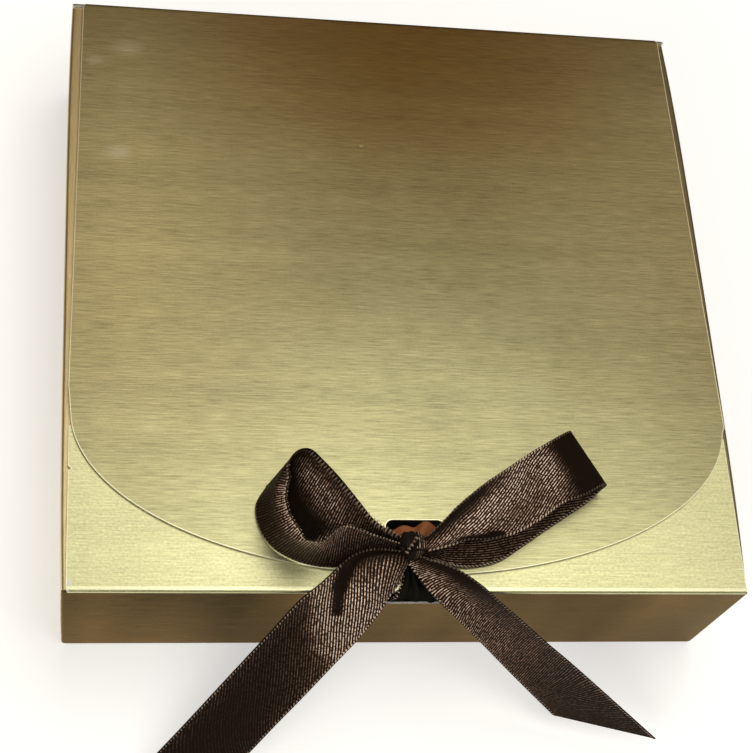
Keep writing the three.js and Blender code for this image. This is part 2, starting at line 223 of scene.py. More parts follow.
class Look(Graph):
    """A material with one Principled shader, and a few words for building its colours."""

    def __init__(self, name):
        self.material = bpy.data.materials.new(name)
        self.material.use_nodes = True
        super().__init__(self.material.node_tree)
        self.shader = self.tree.nodes["Principled BSDF"]

    def parts(self, vector):
        split = self.node("ShaderNodeSeparateXYZ", values={0: vector})
        return [Value(self, split.socket.node.outputs[i]) for i in range(3)]

    def coordinates(self, output):
        return self.parts(self.node("ShaderNodeTexCoord", output=output))

    def attribute(self, name):
        return self.node("ShaderNodeAttribute", {"attribute_name": name}, output="Fac")

    def noise(self, x, y, z=0.0, detail=2.0, roughness=0.5):
        """Noise at places that are already multiplied by its number of cells in a metre."""
        values = {"Scale": 1.0, "Detail": detail, "Roughness": roughness}
        return self.node("ShaderNodeTexNoise", values={"Vector": self.vector(x, y, z), **values})

    def blend(self, share, first, second, way="MIX"):
        settings = {"data_type": "RGBA", "blend_type": way}
        return self.node("ShaderNodeMix", settings, {0: share, 6: first, 7: second}, output=2)

    def grey(self, value):
        return self.node("ShaderNodeCombineColor", values={0: value, 1: value, 2: value})

    def tinted(self, colour, amount):
        return self.blend(1.0, colour, self.grey(amount), "MULTIPLY")

    def bump(self, height, strength, distance):
        values = {"Height": height, "Strength": strength, "Distance": distance}
        return self.node("ShaderNodeBump", values=values)

    def finish(self, **sockets):
        for name, value in sockets.items():
            self.feed(self.shader.inputs[name.replace("_", " ")], value)
        return self.material


print("materials are written as sums from here on")

# %% [markdown]
# ## Foil-faced card
#
# The card is white board with a thin metal foil on its outer face. The foil was brushed in one
# direction before the blank was cut, so its fine lines run across the lid, and on a side wall,
# which is folded down from the bottom, the same lines run up and down. Each card piece therefore
# keeps the places of the flat blank in its UV map, and the streaks are drawn there.
#
# A mirror shows its room, and most of this room is missing. The colour therefore carries a
# painted reflection that changes slowly over the box: pale gold in front, brown at the back and
# lighter near the sides. A few smudges and specks lie on the lid, and the front wall has painted
# reflections of blurred patches.

# %% Make the foil
# Places and radii of the smudges, in metres.
SMUDGES = (
    ((-0.0835, 0.0838), 0.007),
    ((-0.0937, 0.0784), 0.004),
    ((-0.0862, 0.0440), 0.006),
    ((-0.0084, 0.0508), 0.0012),
)
SMUDGE_TONE = (0.62, 0.54, 0.40)
SPECK_TONE = (0.85, 0.82, 0.72)
WORN_TONE = (0.86, 0.84, 0.78)
WORN_CORNER = (-0.1004, -0.0980, 0.049)
SIDE_REFLECTION_MIDDLE = 0.012
DARK_REFLECTION_X = -0.047
HALF_HEIGHT = 0.024


def smudged(look, x, y, cloud):
    """How much of each place is under a smudge, whose outline is ragged."""
    smudge = None
    for (left, deep), size in SMUDGES:
        away = look.length(look.vector((x - left) * (1 / size), (y - deep) * (1.6 / size)))
        spot = 1 - (away + (cloud - 0.5) * 0.8).step(0.1, 1.0)
        smudge = spot if smudge is None else smudge + spot
    return smudge


def painted_wall_reflections(look, x, y, z):
    """Painted reflections on the front wall: light and dark patches, a dark one and a lighter lower
    corner.
    """
    patch = look.noise(x * 42 + 2.6, 0.0, z * 5, 1.0) - 0.5
    dark = 1 - (x - DARK_REFLECTION_X).math("ABSOLUTE").step(0.004, 0.024)
    corner = (HALF_HEIGHT - z) * 7.5 * (1 - x.step(-0.07, -0.035))
    return (patch - dark * 0.12 + corner) * (1 - y.step(-0.09, -0.05))


def foil(name, tones, streak=0.5, mottle=0.1, roughness=0.36, wear_and_highlight=None, painted_reflection_strength=0.0):
    """tones: painted reflection colours at the front, in the middle, at the back and near the
    sides.
    """
    look = Look(name)
    across, along, _ = look.coordinates("UV")
    x, y, z = look.coordinates("Object")
    line = look.noise(across * 48, along * 1500, detail=3.0, roughness=0.7)
    hair = look.noise(across * 150, along * 3300, detail=1.0)
    grain = look.noise(across * 1100, along * 1500)
    cloud = look.noise(x * 16, y * 20, z * 16, 3.0)
    band = look.noise(across * 5, along * 150)
    brushed = (line - 0.5) * (streak * 0.8) + (hair - 0.5) * streak + (grain - 0.5) * mottle
    brushed = brushed + (band - 0.5) * (streak * 0.35)

    # Painted reflection: the tones change from front to back, and a lighter reflection lies near
    # the sides.
    depth = y + (cloud - 0.5) * 0.03
    toward_back = depth.step(0.0, 0.10)
    off_middle = x - SIDE_REFLECTION_MIDDLE
    side_reflection = (off_middle * off_middle * 110).limited() * depth.step(-0.10, 0.02)
    side_reflection = side_reflection * (0.8 - depth.step(0.06, 0.12) * 0.35)
    tone = look.blend(depth.step(-0.125, 0.02), tones[0], tones[1])
    tone = look.blend(toward_back, tone, tones[2])
    tone = look.blend(side_reflection, tone, tones[3])
    tone = look.blend(smudged(look, x, y, cloud) * 0.22, tone, SMUDGE_TONE)

    cells = {"Vector": look.vector(across * 34, along * 34), "Scale": 1.0}
    speck = 1 - look.node("ShaderNodeTexVoronoi", {"feature": "F1"}, cells).step(0.006, 0.013)
    tone = look.blend(speck * 0.55, tone, SPECK_TONE)
    shade = brushed * (1.5 - toward_back * 0.3) + 1.0
    # Painted reflections of blurred patches on the front wall.
    if painted_reflection_strength:
        shade = shade + painted_wall_reflections(look, x, y, z) * painted_reflection_strength
    tone = look.tinted(tone, shade)
    metal = 1 - speck * 0.6
    if wear_and_highlight:
        distance = look.length(look.vector(x - wear_and_highlight[0], y - wear_and_highlight[1], z - wear_and_highlight[2]))
        rub = 1 - (distance + (grain - 0.5) * 0.002).step(0.0014, 0.0024)
        tone = look.blend(rub, tone, WORN_TONE)
        metal = metal * (1 - rub)
    return look.finish(
        Base_Color=tone,
        Metallic=metal,
        Roughness=(line - 0.5) * 0.10 + (cloud - 0.5) * 0.08 + roughness,
        Normal=look.bump(line * 0.5 + hair * 0.3 + grain * 0.2, 0.3, 0.00006),
    )


# %% [markdown]
# Each panel mirrors another part of the room, so each has tones of its own: these are painted
# reflection, lit and shaded copies of one foil. The rim along a cut edge and the strip along a
# sharp crease get a paler foil, which is a painted highlight.

# %% Make the foil of each panel
# Painted reflection on the lid: pale gold in front, brown at the back, lighter near the sides.
LID_TONES = (
    (0.495, 0.475, 0.258),
    (0.168, 0.143, 0.069),
    (0.122, 0.067, 0.019),
    (0.330, 0.268, 0.126),
)
FLAP_TONES = ((0.60, 0.58, 0.325),) * 4
# Painted shade: the wall foil is dark, for the shadowed floor that the front wall mirrors.
WALL_TONES = ((0.105, 0.065, 0.026),) * 2 + ((0.30, 0.225, 0.115),) * 2
# Painted light and shade: the left side's foil is lit pale and the right side's is shaded dark.
LEFT_SIDE_TONES = ((0.78, 0.66, 0.37), (0.76, 0.61, 0.33)) + ((0.50, 0.37, 0.18),) * 2
RIGHT_SIDE_TONES = ((0.32, 0.275, 0.155), (0.28, 0.225, 0.12)) + ((0.21, 0.155, 0.078),) * 2
# Painted highlight: a paler foil for the rims along cut edges and the strip along a sharp crease.
PAINTED_HIGHLIGHT_TONES = ((0.74, 0.72, 0.47),) * 3 + ((0.46, 0.37, 0.24),)
lid_foil = foil("lid_foil", LID_TONES, 0.64, 0.2)
flap_foil = foil("flap_foil", FLAP_TONES, 0.35, 0.4, 0.42, WORN_CORNER)
wall_foil = foil("wall_foil", WALL_TONES, 1.1, 0.6, 0.30, painted_reflection_strength=2.2)
wall_shader = wall_foil.node_tree.nodes["Principled BSDF"]
wall_shader.inputs["Specular Tint"].default_value = (0.75, 0.66, 0.53, 1)
side_foils = {
    "left": foil("left_side_foil", LEFT_SIDE_TONES, 0.3, 0.10, 0.40),
    "right": foil("right_side_foil", RIGHT_SIDE_TONES, 0.3, 0.10, 0.40),
}
painted_highlight = foil("painted_highlight_foil", PAINTED_HIGHLIGHT_TONES, 0.2, 0.2, 0.40)
print("the wall's foil has", len(wall_foil.node_tree.nodes), "nodes")

# %% [markdown]
# The inner face is plain white board with a faint fibre grain. The cut edges show the same board
# a little yellower, and those of the tray show it clean and white, made brighter still as a
# painted highlight for the glint on the rim of the front slot. All are dull, so their shaders
# have no metal in them.

# %% Make the bare board


def board_face(name, tone, fibre):
    look = Look(name)
    x, y, z = look.coordinates("Object")
    flecks = look.noise(x * 700, y * 700, z * 700, 3.0)
    cloud = look.noise(x * 24, y * 24, z * 24)
    return look.finish(
        Base_Color=look.tinted(tone, (flecks - 0.5) * fibre + (cloud - 0.5) * 0.05 + 1.0),
        Roughness=(flecks - 0.5) * 0.1 + 0.72,
        Normal=look.bump(flecks, 0.25, 0.00005),
    )


bare_board = board_face("bare_board", (0.70, 0.68, 0.62), 0.10)
cut_edge = board_face("cut_edge", (0.66, 0.64, 0.48), 0.12)
# The white board core, made brighter as a painted highlight for the glint on the slot's rim.
white_core_and_glint = board_face("white_core_and_glint", (0.93, 0.92, 0.86), 0.06)

# %% [markdown]
# ## Folding a blank
#
# A carton could be built from six thin boxes, but their sharp edges never look like creased card.
# Here each piece starts flat, as it was cut. A filled curve turns its outline and holes into a
# thin solid, that solid is sliced where it will bend, and every point is then moved to its
# place along a path of straight runs and small quarter turns. The fold keeps its round edge. A
# thin rim of the outer face is set apart, and so is a strip along a crease: both get a paler
# foil, a painted highlight where a cut edge and a sharp fold catch the light.

# %% Write the folding helpers
BOARD = 0.6
FOLD = 0.9
FOLD_SLICES = 6
QUARTER = FOLD * math.pi / 2
RIM = 0.28
NEAR = 0.01
SHARP_ANGLE = 50


def to_left(angle):
    """The direction that points to the left of a path with this heading."""
    return Vector((-math.sin(angle), math.cos(angle)))


class FoldPath:
    """The outer face of folded card, seen end on, in millimetres.

    runs: the lengths of straight runs, with "left" or "right" between them for a quarter turn.
    """

    def __init__(self, start, heading, runs):
        self.legs = []
        place, angle, self.length = Vector(start), math.radians(heading), 0.0
        for run in runs:
            turn = {"left": 1, "right": -1}.get(run, 0)
            length = QUARTER if turn else run
            self.legs.append((self.length, length, turn, place, angle))
            self.length += length
            place, angle = self.at(self.length)

    def at(self, distance):
        for begun, length, turn, place, angle in self.legs:
            if distance <= begun + length + 1e-6:
                break
        gone = distance - begun
        if not turn:
            return place + Vector((math.cos(angle), math.sin(angle))) * gone, angle
        now = angle + turn * gone / FOLD
        return place + (to_left(angle) - to_left(now)) * turn * FOLD, now

    def inside(self, distance, depth):
        """A point of the card, so far to the left of its outer face. Below 0 is to the right."""
        point, angle = self.at(distance)
        return point + to_left(angle) * depth

    def slices(self):
        """Where the blank is cut, so that it can bend."""
        marks = set()
        for begun, length, turn, *_ in self.legs:
            count = FOLD_SLICES if turn else 1
            marks.update(round(begun + length * i / count, 4) for i in range(count + 1))
        return sorted(marks)[1:-1]


def flat_blank(name, outline, holes):
    curve = bpy.data.curves.new(name, "CURVE")
    curve.dimensions = "2D"
    curve.fill_mode = "BOTH"
    curve.extrude = BOARD / 2
    for loop in (outline, *holes):
        spline = curve.splines.new("POLY")
        spline.points.add(len(loop) - 1)
        for point, (a, b) in zip(spline.points, loop):
            point.co = (a, b, 0, 1)
        spline.use_cyclic_u = True
    mesh = settled_mesh(add_object(name, curve))
    bpy.data.curves.remove(curve)
    return mesh


def folded_card(
    name, outline, holes, cuts_across, cuts_along, place, faces, body, nodes, creased=(), wear_and_highlight=()
):
    """A piece of card, sliced at the cuts and folded by place, a function of the flat blank.

    faces: materials of the outer face, the inner face and the cut edges.
    creased: places along the blank where a crease ends it, so its edge isn't cut.
    wear_and_highlight: two places along the blank, between which the outer face gets a
    painted highlight.
    """
    mesh = flat_blank(name, outline, holes)
    work = bmesh.new()
    work.from_mesh(mesh)
    bpy.data.meshes.remove(mesh)
    bmesh.ops.remove_doubles(work, verts=work.verts, dist=1e-4)
    bmesh.ops.recalc_face_normals(work, faces=work.faces)
    work.normal_update()
    on_rim = work.faces.layers.int.new("rim")
    outer = [f for f in work.faces if f.normal.z > 0.5]
    ways = {"use_even_offset": True, "use_boundary": True}
    rim = bmesh.ops.inset_region(work, faces=outer, thickness=RIM, **ways)
    for face in rim["faces"]:
        face[on_rim] = 1
    for axis, cuts in ((Vector((1, 0, 0)), cuts_across), (Vector((0, 1, 0)), cuts_along)):
        for cut in cuts:
            whole = [*work.verts, *work.edges, *work.faces]
            plane = {"plane_co": axis * cut, "plane_no": axis}
            bmesh.ops.bisect_plane(work, geom=whole, dist=1e-5, **plane)
    bmesh.ops.recalc_face_normals(work, faces=work.faces)
    work.normal_update()
    uv = work.loops.layers.uv.verify()
    for face in work.faces:
        along = [v.co.y for v in face.verts]
        low, high = min(along), max(along)
        at_crease = any(high - low < NEAR and abs(along[0] - c) < NEAR for c in creased)
        if face.normal.z > 0.5:
            in_highlight_strip = wear_and_highlight and wear_and_highlight[0] - NEAR < low and high < wear_and_highlight[1] + NEAR
            # Material 3 is a painted highlight on the rim along cut edges and on the strip by a
            # crease.
            face.material_index = 3 if in_highlight_strip or (face[on_rim] and not creased) else 0
        elif at_crease:
            face.material_index = 0
        else:
            face.material_index = 1 if face.normal.z < -0.5 else 2
        face.smooth = True
        for loop in face.loops:
            loop[uv].uv = (loop.vert.co.x * MM, loop.vert.co.y * MM)
    for vertex in work.verts:
        a, b, h = vertex.co
        vertex.co = Vector(place(a, b, BOARD / 2 - h)) * MM
    bmesh.ops.triangulate(work, faces=[f for f in work.faces if len(f.verts) > 4])
    bmesh.ops.recalc_face_normals(work, faces=work.faces)
    made = finished_mesh(name, work, (*faces, painted_highlight), SHARP_ANGLE)
    piece = add_object(name, made)
    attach(piece, body)
    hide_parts(*nodes)
    print(name, len(made.polygons), "faces")


def arc(centre, radii, start, end, count):
    """Points of an ellipse's arc, between two angles in degrees."""
    angles = [math.radians(start + (end - start) * i / count) for i in range(count + 1)]
    (x, y), (wide, high) = centre, radii
    return [(x + wide * math.cos(t), y + high * math.sin(t)) for t in angles]


def rounded_slot(middle, size, radius):
    (x, y), (width, height) = middle, size
    loop = []
    for sx, sy, start in ((1, 1, 0), (-1, 1, 90), (-1, -1, 180), (1, -1, 270)):
        corner = (x + sx * (width / 2 - radius), y + sy * (height / 2 - radius))
        loop += arc(corner, (radius, radius), start, start + 90, 5)
    return loop


# %% [markdown]
# ## Lid
#
# The lid is the long panel that hangs on the back wall's crease. Its front edge is half an
# ellipse, and a rounded slot near the tip lets the ribbon through. Distances along the blank
# are measured from the tip. The curve's left end rises higher than its right one.

# %% Fold the lid
LID_TIP = -95.0
LID_SHIFT = 0.5
LID_CURVE_HALF = 100.0
LID_HALF = 100.7
LID_BACK_HALF = 98.2
LID_BACK = 100.8
LID_CURVE = 50.0
SLOT = (18.0, 10.0)
SLOT_MIDDLE = -83.0
SLOT_CORNER = 2.4
LID_NARROWING = 194.2
CUTS_ACROSS = [-60, -20, 20, 60]

lid_path = FoldPath((LID_TIP, 50.0), 0, [LID_BACK - FOLD - LID_TIP, "right"])
lid_edge = arc((LID_SHIFT, LID_CURVE), (LID_CURVE_HALF, LID_CURVE), 183.44, 356.56, 84)
lid_side = [
    (LID_BACK_HALF, LID_NARROWING),
    (LID_BACK_HALF - 1.0, lid_path.length - 0.2),
    (LID_BACK_HALF - 1.6, lid_path.length),
]
lid_outline = [
    *lid_edge,
    (LID_SHIFT + LID_HALF, LID_CURVE - 1.5),
    *((LID_SHIFT + a, b) for a, b in lid_side),
    *((LID_SHIFT - a, b) for a, b in reversed(lid_side)),
    (LID_SHIFT - LID_HALF, LID_CURVE + 8.0),
]


def lid_place(a, b, depth):
    point = lid_path.inside(b, -depth)
    return a, point.x, point.y


folded_card(
    "lid_card",
    lid_outline,
    [rounded_slot((LID_SHIFT, SLOT_MIDDLE - LID_TIP), SLOT, SLOT_CORNER)],
    CUTS_ACROSS,
    lid_path.slices() + [40, 80, 120, 160],
    lid_place,
    (lid_foil, bare_board, cut_edge),
    "lid",
    ["lid_panel"],
)

# %% [markdown]
# ## Front flap
#
# The flap folds in from the top of the front wall and lies under the lid. Only its two front
# corners show beside the lid's curve. The crease along its front edge has a painted highlight,
# the left edge has a small nick, and the foil has rubbed off the left corner.

# %% Fold the front flap
FLAP_LEFT = -99.9
FLAP_RIGHT = 100.7
FLAP_TAPER = 8.0
FLAP_START = 42.0
FLAP_FLAT = 57.1
NICK = 21.0
NICK_DEPTH = 0.9
CREASE_HIGHLIGHT_WIDTH = 0.75
flap_path = FoldPath((FLAP_START, 49.1), 0, [FLAP_FLAT, "right"])
flap_end = flap_path.length
flap_outline = [
    (FLAP_LEFT + FLAP_TAPER, 0),
    (FLAP_RIGHT - FLAP_TAPER, 0),
    (FLAP_RIGHT, FLAP_TAPER),
    (FLAP_RIGHT, flap_end - 1.2),
    (FLAP_RIGHT - 0.5, flap_end),
    (FLAP_LEFT + 0.5, flap_end),
    (FLAP_LEFT, flap_end - 1.2),
    (FLAP_LEFT, NICK + NICK_DEPTH),
    (FLAP_LEFT + NICK_DEPTH, NICK),
    (FLAP_LEFT, NICK - NICK_DEPTH),
    (FLAP_LEFT, FLAP_TAPER),
]


def flap_place(a, b, depth):
    point = flap_path.inside(b, -depth)
    return a, -point.x, point.y


folded_card(
    "flap_card",
    flap_outline,
    [rounded_slot((0, -SLOT_MIDDLE - FLAP_START), (SLOT[0] + 0.8, SLOT[1] + 0.8), SLOT_CORNER)],
    CUTS_ACROSS,
    sorted(flap_path.slices() + [20, FLAP_FLAT - CREASE_HIGHLIGHT_WIDTH]),
    flap_place,
    (flap_foil, bare_board, cut_edge),
    "flap",
    ["front_flap"],
    wear_and_highlight=(FLAP_FLAT - CREASE_HIGHLIGHT_WIDTH, FLAP_FLAT + CREASE_HIGHLIGHT_WIDTH / 2),
)

# %% [markdown]
# ## Front wall, bottom and back wall
#
# These three are one strip of the blank: down the front, along the bottom and up the back.
# The upright walls have sprung outwards a little at their tops, so the front and back walls are
# wider above than below and the back wall leans. Their ends turn round the corners in a soft
# fold. The bottom has four slits for the side walls' tabs.

# %% Fold the strip from front to back
WALL_HALF = 100.0
WALL_TURN = 0.7
SIDE_LEAN = 1.1
BACK_LEAN = 0.8
FRONT_TOP = 48.15
BACK_TOP = 49.05
BOTTOM_FLAT = 198.2
BOTTOM_HALF = 99.0
WALL_FLAT = WALL_HALF - WALL_TURN
front_end = FRONT_TOP - FOLD
strip_runs = [front_end, "left", BOTTOM_FLAT, "left", BACK_TOP - FOLD]
strip_path = FoldPath((-100.0, FRONT_TOP), -90, strip_runs)
bottom_start = front_end + QUARTER
back_start = bottom_start + BOTTOM_FLAT + QUARTER
turn_length = WALL_TURN * math.pi / 2
wall_reach = WALL_FLAT + turn_length
strip_side = [
    (-wall_reach, 0),
    (-wall_reach, front_end - 0.4),
    (-BOTTOM_HALF, front_end - 0.2),
    (-BOTTOM_HALF, back_start + 0.2),
    (-wall_reach, back_start + 0.4),
    (-wall_reach, strip_path.length),
]
strip_outline = strip_side + [(-a, b) for a, b in reversed(strip_side)]
TAB_MIDDLES = (-48.0, 48.0)
TAB_WIDTH = 26.0
SLIT_PLACE = 95.8
SLIT = ((-0.6, -13.3), (0.6, -13.3), (0.6, 13.3), (-0.6, 13.3))
slits = []
for side in (-1, 1):
    for middle in TAB_MIDDLES:
        a, b = side * SLIT_PLACE, bottom_start + BOTTOM_FLAT / 2 + middle
        slits.append([(a + da, b + db) for da, db in SLIT])


def strip_place(a, b, depth):
    rise = strip_path.at(b)[0].y / FRONT_TOP
    on_wall = b < front_end - 0.1 or b > back_start + 0.1
    x = a
    if on_wall and abs(a) > WALL_FLAT:
        turned = (abs(a) - WALL_FLAT) / WALL_TURN
        reach = WALL_TURN - depth
        x = math.copysign(WALL_FLAT + reach * math.sin(turned), a)
        depth = WALL_TURN - reach * math.cos(turned)
    point = strip_path.inside(b, depth)
    point.x += BACK_LEAN * rise * (b > back_start)
    return x * (1 + SIDE_LEAN / WALL_HALF * rise * on_wall), point.x, point.y


turn_cuts = [WALL_FLAT + turn_length * i / 5 for i in range(6)]
lean_cuts = [front_end - 0.2, back_start + 0.2, 100, 200]
folded_card(
    "tray_card",
    strip_outline,
    [rounded_slot((0, FRONT_TOP - 42.0), (18.0, 6.0), 1.2), *slits],
    sorted([-t for t in turn_cuts] + CUTS_ACROSS + turn_cuts),
    sorted(strip_path.slices() + lean_cuts),
    strip_place,
    (wall_foil, bare_board, white_core_and_glint),
    "tray",
    ["bottom_panel", "front_wall", "back_wall"],
    creased=(0, strip_path.length),
)

# %% [markdown]
# ## Side walls
#
# Each side wall is a strip of the blank that goes up the outside, rolls over the top and comes
# down inside, where two tabs lock it into the bottom. The springy roll pushes the outer layer
# outwards, most of all in the middle, so the side leans and bows. Both are added after folding.

# %% Fold the side walls
ROLL = 4.5
INNER_FOOT = 0.9
SIDE_TOP = 48.2
SIDE_HALF = 99.1
BULGE = {"left": 0.9, "right": 1.5}
outer_run, roll_run, inner_run = SIDE_TOP - FOLD * 2, ROLL - FOLD * 2, SIDE_TOP - FOLD - INNER_FOOT
side_runs = ["left", outer_run, "left", roll_run, "left", inner_run]
side_path = FoldPath((SIDE_HALF, 0.0), 0, side_runs)
side_end = side_path.length
outer_end = QUARTER + SIDE_TOP - FOLD
roll_end = outer_end + QUARTER + ROLL - FOLD
side_outline = [(-SIDE_HALF, 0), (SIDE_HALF, 0), (SIDE_HALF, side_end)]
for middle in reversed(TAB_MIDDLES):
    start, end = middle + TAB_WIDTH / 2, middle - TAB_WIDTH / 2
    foot = side_end + INNER_FOOT - 0.05
    side_outline += [(start, side_end), (start - 0.3, foot), (end + 0.3, foot), (end, side_end)]
side_outline.append((-SIDE_HALF, side_end))


def side_place(side, bulge):
    def place(a, b, depth):
        point = side_path.inside(min(b, side_end), depth)
        point.y -= max(b - side_end, 0)
        rise = min(max(point.y / SIDE_TOP, 0), 1)
        spread = SIDE_LEAN + bulge * (1 - (a / 100.0) ** 4)
        if b > outer_end + QUARTER:
            share = min(max((point.x - (100 - ROLL + BOARD)) / (ROLL - BOARD), 0), 1)
        else:
            share = math.sin(rise * math.pi / 2)
        if b > roll_end:
            share = 0
        at_back = max(side * a - 85, 0) / 14.1
        return side * (point.x + spread * share), side * a + BACK_LEAN * rise * at_back, point.y

    return place


lengthwise = [-99.0 + 198.0 * i / 22 for i in range(23)]
upward = side_path.slices() + [outer_end * i / 6 for i in range(1, 6)]
for name, side in (("left", -1), ("right", 1)):
    folded_card(
        f"{name}_side_card",
        side_outline,
        [],
        lengthwise,
        sorted(upward + [side_end]),
        side_place(side, BULGE[name]),
        (side_foils[name], bare_board, cut_edge),
        "tray",
        [f"{name}_outer_wall", f"{name}_wall_top", f"{name}_inner_wall"],
    )

# %% [markdown]
# The four corner flaps stay as the frame has them, between the two layers of the side walls.
# They only need the card's finish.

# %% Finish the corner flaps
for end in ("front", "back"):
    for side in ("left", "right"):
        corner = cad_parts[f"{end}_{side}_corner_flap"]
        corner.data.materials.clear()
        corner.data.materials.append(side_foils[side])

# %% [markdown]
# ## Satin
#
# The ribbon is double-faced satin with a stitched selvedge. Satin has long floating threads, and
# they lie in slanting ribs, which shine where they catch the light. A weave made of
# real threads would need millions of faces. Here the ribs are drawn in a second UV map, which is
# turned so that its first axis runs along the ribs. An attribute of the mesh holds painted light
# and shade: at each place it says how brightly the ribs shine, from painted shade to painted
# highlight. Two short bands show no ribs: the one in the front slot is painted near-black for the
# deep shade it lies in, and the one in the lid's slot is painted copper for the warm light it
# catches.

# %% Make the satin
RIB_WIDTH = 0.00076
KNOT_RIB_WIDTH = 0.00072
HALF_LIT = (0.46, 0.36, 0.30)


def satin(name, dark, bright, rib_width=RIB_WIDTH, roughness=0.45):
    """Ribs from dark through a warm middle tone to bright, by the painted light and shade."""
    look = Look(name)
    painted_light = look.attribute("painted_light")
    along, over, _ = look.parts(look.node("ShaderNodeUVMap", {"uv_map": "threads"}))
    x, y, z = look.coordinates("Object")
    _, across, _ = look.coordinates("UV")
    wobble = look.noise(along * 90, over * 90, detail=1.0)
    lane = over * (1 / rib_width) + (wobble - 0.5) * 0.8
    rib = ((lane * math.tau).math("SINE") * 0.5 + 0.5).step(0.60, 0.95)
    dots = look.noise(along * 1400, lane * 0.8, detail=1.0).step(0.40, 0.58)
    cloud = look.noise(x * 140, y * 140, z * 140)
    spark = look.noise(x * 420, y * 420, z * 420, 1.0)
    woven = across.step(0.0005, 0.0011) * (1 - across.step(0.0189, 0.0195))
    # Painted light: the attribute's painted highlight and shade, with small painted glints.
    painted_sheen = painted_light.math("POWER", 1.7) * (cloud * 0.9 + spark * 1.6 - 0.25) * (woven * 0.9 + 0.1)
    shine = (rib * (dots * 0.85 + 0.15) * painted_sheen * 1.9 + painted_sheen * 0.01).limited()
    middle = tuple(part * share for part, share in zip(bright, HALF_LIT))
    colour = look.blend((shine * 2).limited(), dark, middle)
    colour = look.blend((shine * 2 - 1).limited(), colour, bright)
    return look.finish(
        Base_Color=colour,
        Metallic=shine * 0.6,
        Roughness=(dots - 0.5) * 0.1 + roughness,
        Specular_IOR_Level=0.04,
        Normal=look.bump(rib * 0.7 + dots * 0.3, 0.6, 0.00012),
    )


def smooth_satin(name, tone, roughness, bright=None, specular=0.06):
    look = Look(name)
    x, y, z = look.coordinates("Object")
    fine = look.noise(x * 500, y * 300, z * 300)
    colour = look.blend(look.attribute("painted_light"), tone, bright or tone)
    return look.finish(
        Base_Color=look.tinted(colour, (fine - 0.5) * 0.3 + 1.0),
        Roughness=(fine - 0.5) * 0.1 + roughness,
        Specular_IOR_Level=specular,
        Normal=look.bump(fine, 0.4, 0.0001),
    )


satin_face = satin("satin_face", (0.0120, 0.0068, 0.0036), (1.0, 0.80, 0.66))
satin_knot = satin("satin_knot", (0.012, 0.0085, 0.0055), (0.80, 0.66, 0.54), KNOT_RIB_WIDTH)
satin_thread = smooth_satin("satin_thread", (0.055, 0.038, 0.026), 0.5, (1.0, 0.76, 0.58))
# Painted shade: a near-black satin for the band that lies in deep shade in the front slot.
satin_painted_shade = smooth_satin("satin_painted_shade", (0.011, 0.011, 0.008), 0.4, specular=0.0)
# Painted light: a copper satin for the band that warm light catches in the lid's slot.
satin_painted_warm_light = smooth_satin("satin_painted_warm_light", (0.36, 0.13, 0.05), 0.5)

# %% [markdown]
# ## Shaping the ribbon
#
# Cloth tools would let the bow fall into a shape of its own, and this bow has a known one. Each
# length is a strip between two edge curves that go through measured places. A crown lifts the
# middle of the strip and a pleat folds it into an S, and both fade along it. Marks add single
# valleys and ridges, and waves gather a length that is narrower than the ribbon.

# %% Write the ribbon helpers
RIBBON = 20.0
THICK = 0.36
BOW_MIDDLE = -2.4
HALF_DEPTH = 100.0
LID_TOP = 50.0
RUN_STEPS = 80
EDGE_ANGLE = 60


def through(points, share):
    """A smooth curve through points, with knots spaced by the square root of their distance."""
    span = len(points) - 1
    index = min(int(share * span), span - 1)
    weight = share * span - index
    p1, p2 = points[index], points[index + 1]
    p0 = points[index - 1] if index > 0 else p1 * 2 - p2
    p3 = points[index + 2] if index + 2 <= span else p2 * 2 - p1
    t1 = max((p1 - p0).length ** 0.5, 1e-4)
    t2 = t1 + max((p2 - p1).length ** 0.5, 1e-4)
    t3 = t2 + max((p3 - p2).length ** 0.5, 1e-4)
    t = t1 + (t2 - t1) * weight
    a1 = p0 * (1 - t / t1) + p1 * (t / t1)
    a2 = p1 * ((t2 - t) / (t2 - t1)) + p2 * ((t - t1) / (t2 - t1))
    a3 = p2 * ((t3 - t) / (t3 - t2)) + p3 * ((t - t2) / (t3 - t2))
    b1 = a1 * ((t2 - t) / t2) + a2 * (t / t2)
    b2 = a2 * ((t3 - t) / (t3 - t1)) + a3 * ((t - t1) / (t3 - t1))
    return b1 * ((t2 - t) / (t2 - t1)) + b2 * ((t - t1) / (t2 - t1))


def bow_point(hundredths):
    """A place in millimetres, from one that is written down as the tables of the bow are."""
    x, y, z = (part / 100 for part in hundredths)
    height = LID_TOP + z * RIBBON if z > 0 else LID_TOP + z * LID_TOP
    return Vector((BOW_MIDDLE + x * RIBBON, y * RIBBON - HALF_DEPTH, height))


def falloff(distance, radius):
    """1 on the line and 0 at the radius, with a soft slope between."""
    share = min(distance / radius, 1.0)
    return (1 - share * share) ** 2


def off_line(point, start, end):
    """The distance from a point to a straight piece of line."""
    line = end - start
    share = min(max((point - start).dot(line) / line.length_squared, 0), 1)
    return (point - start - line * share).length


def running(points):
    """How far a line through the points has travelled at each of them."""
    travelled = [0.0]
    for before, after in zip(points, points[1:]):
        travelled.append(travelled[-1] + (after - before).length)
    return travelled


def between(row, share):
    """A value of a row of evenly spaced values, by straight steps."""
    place = share * (len(row) - 1)
    index = min(int(place), len(row) - 2)
    return row[index] + (row[index + 1] - row[index]) * (place - index)


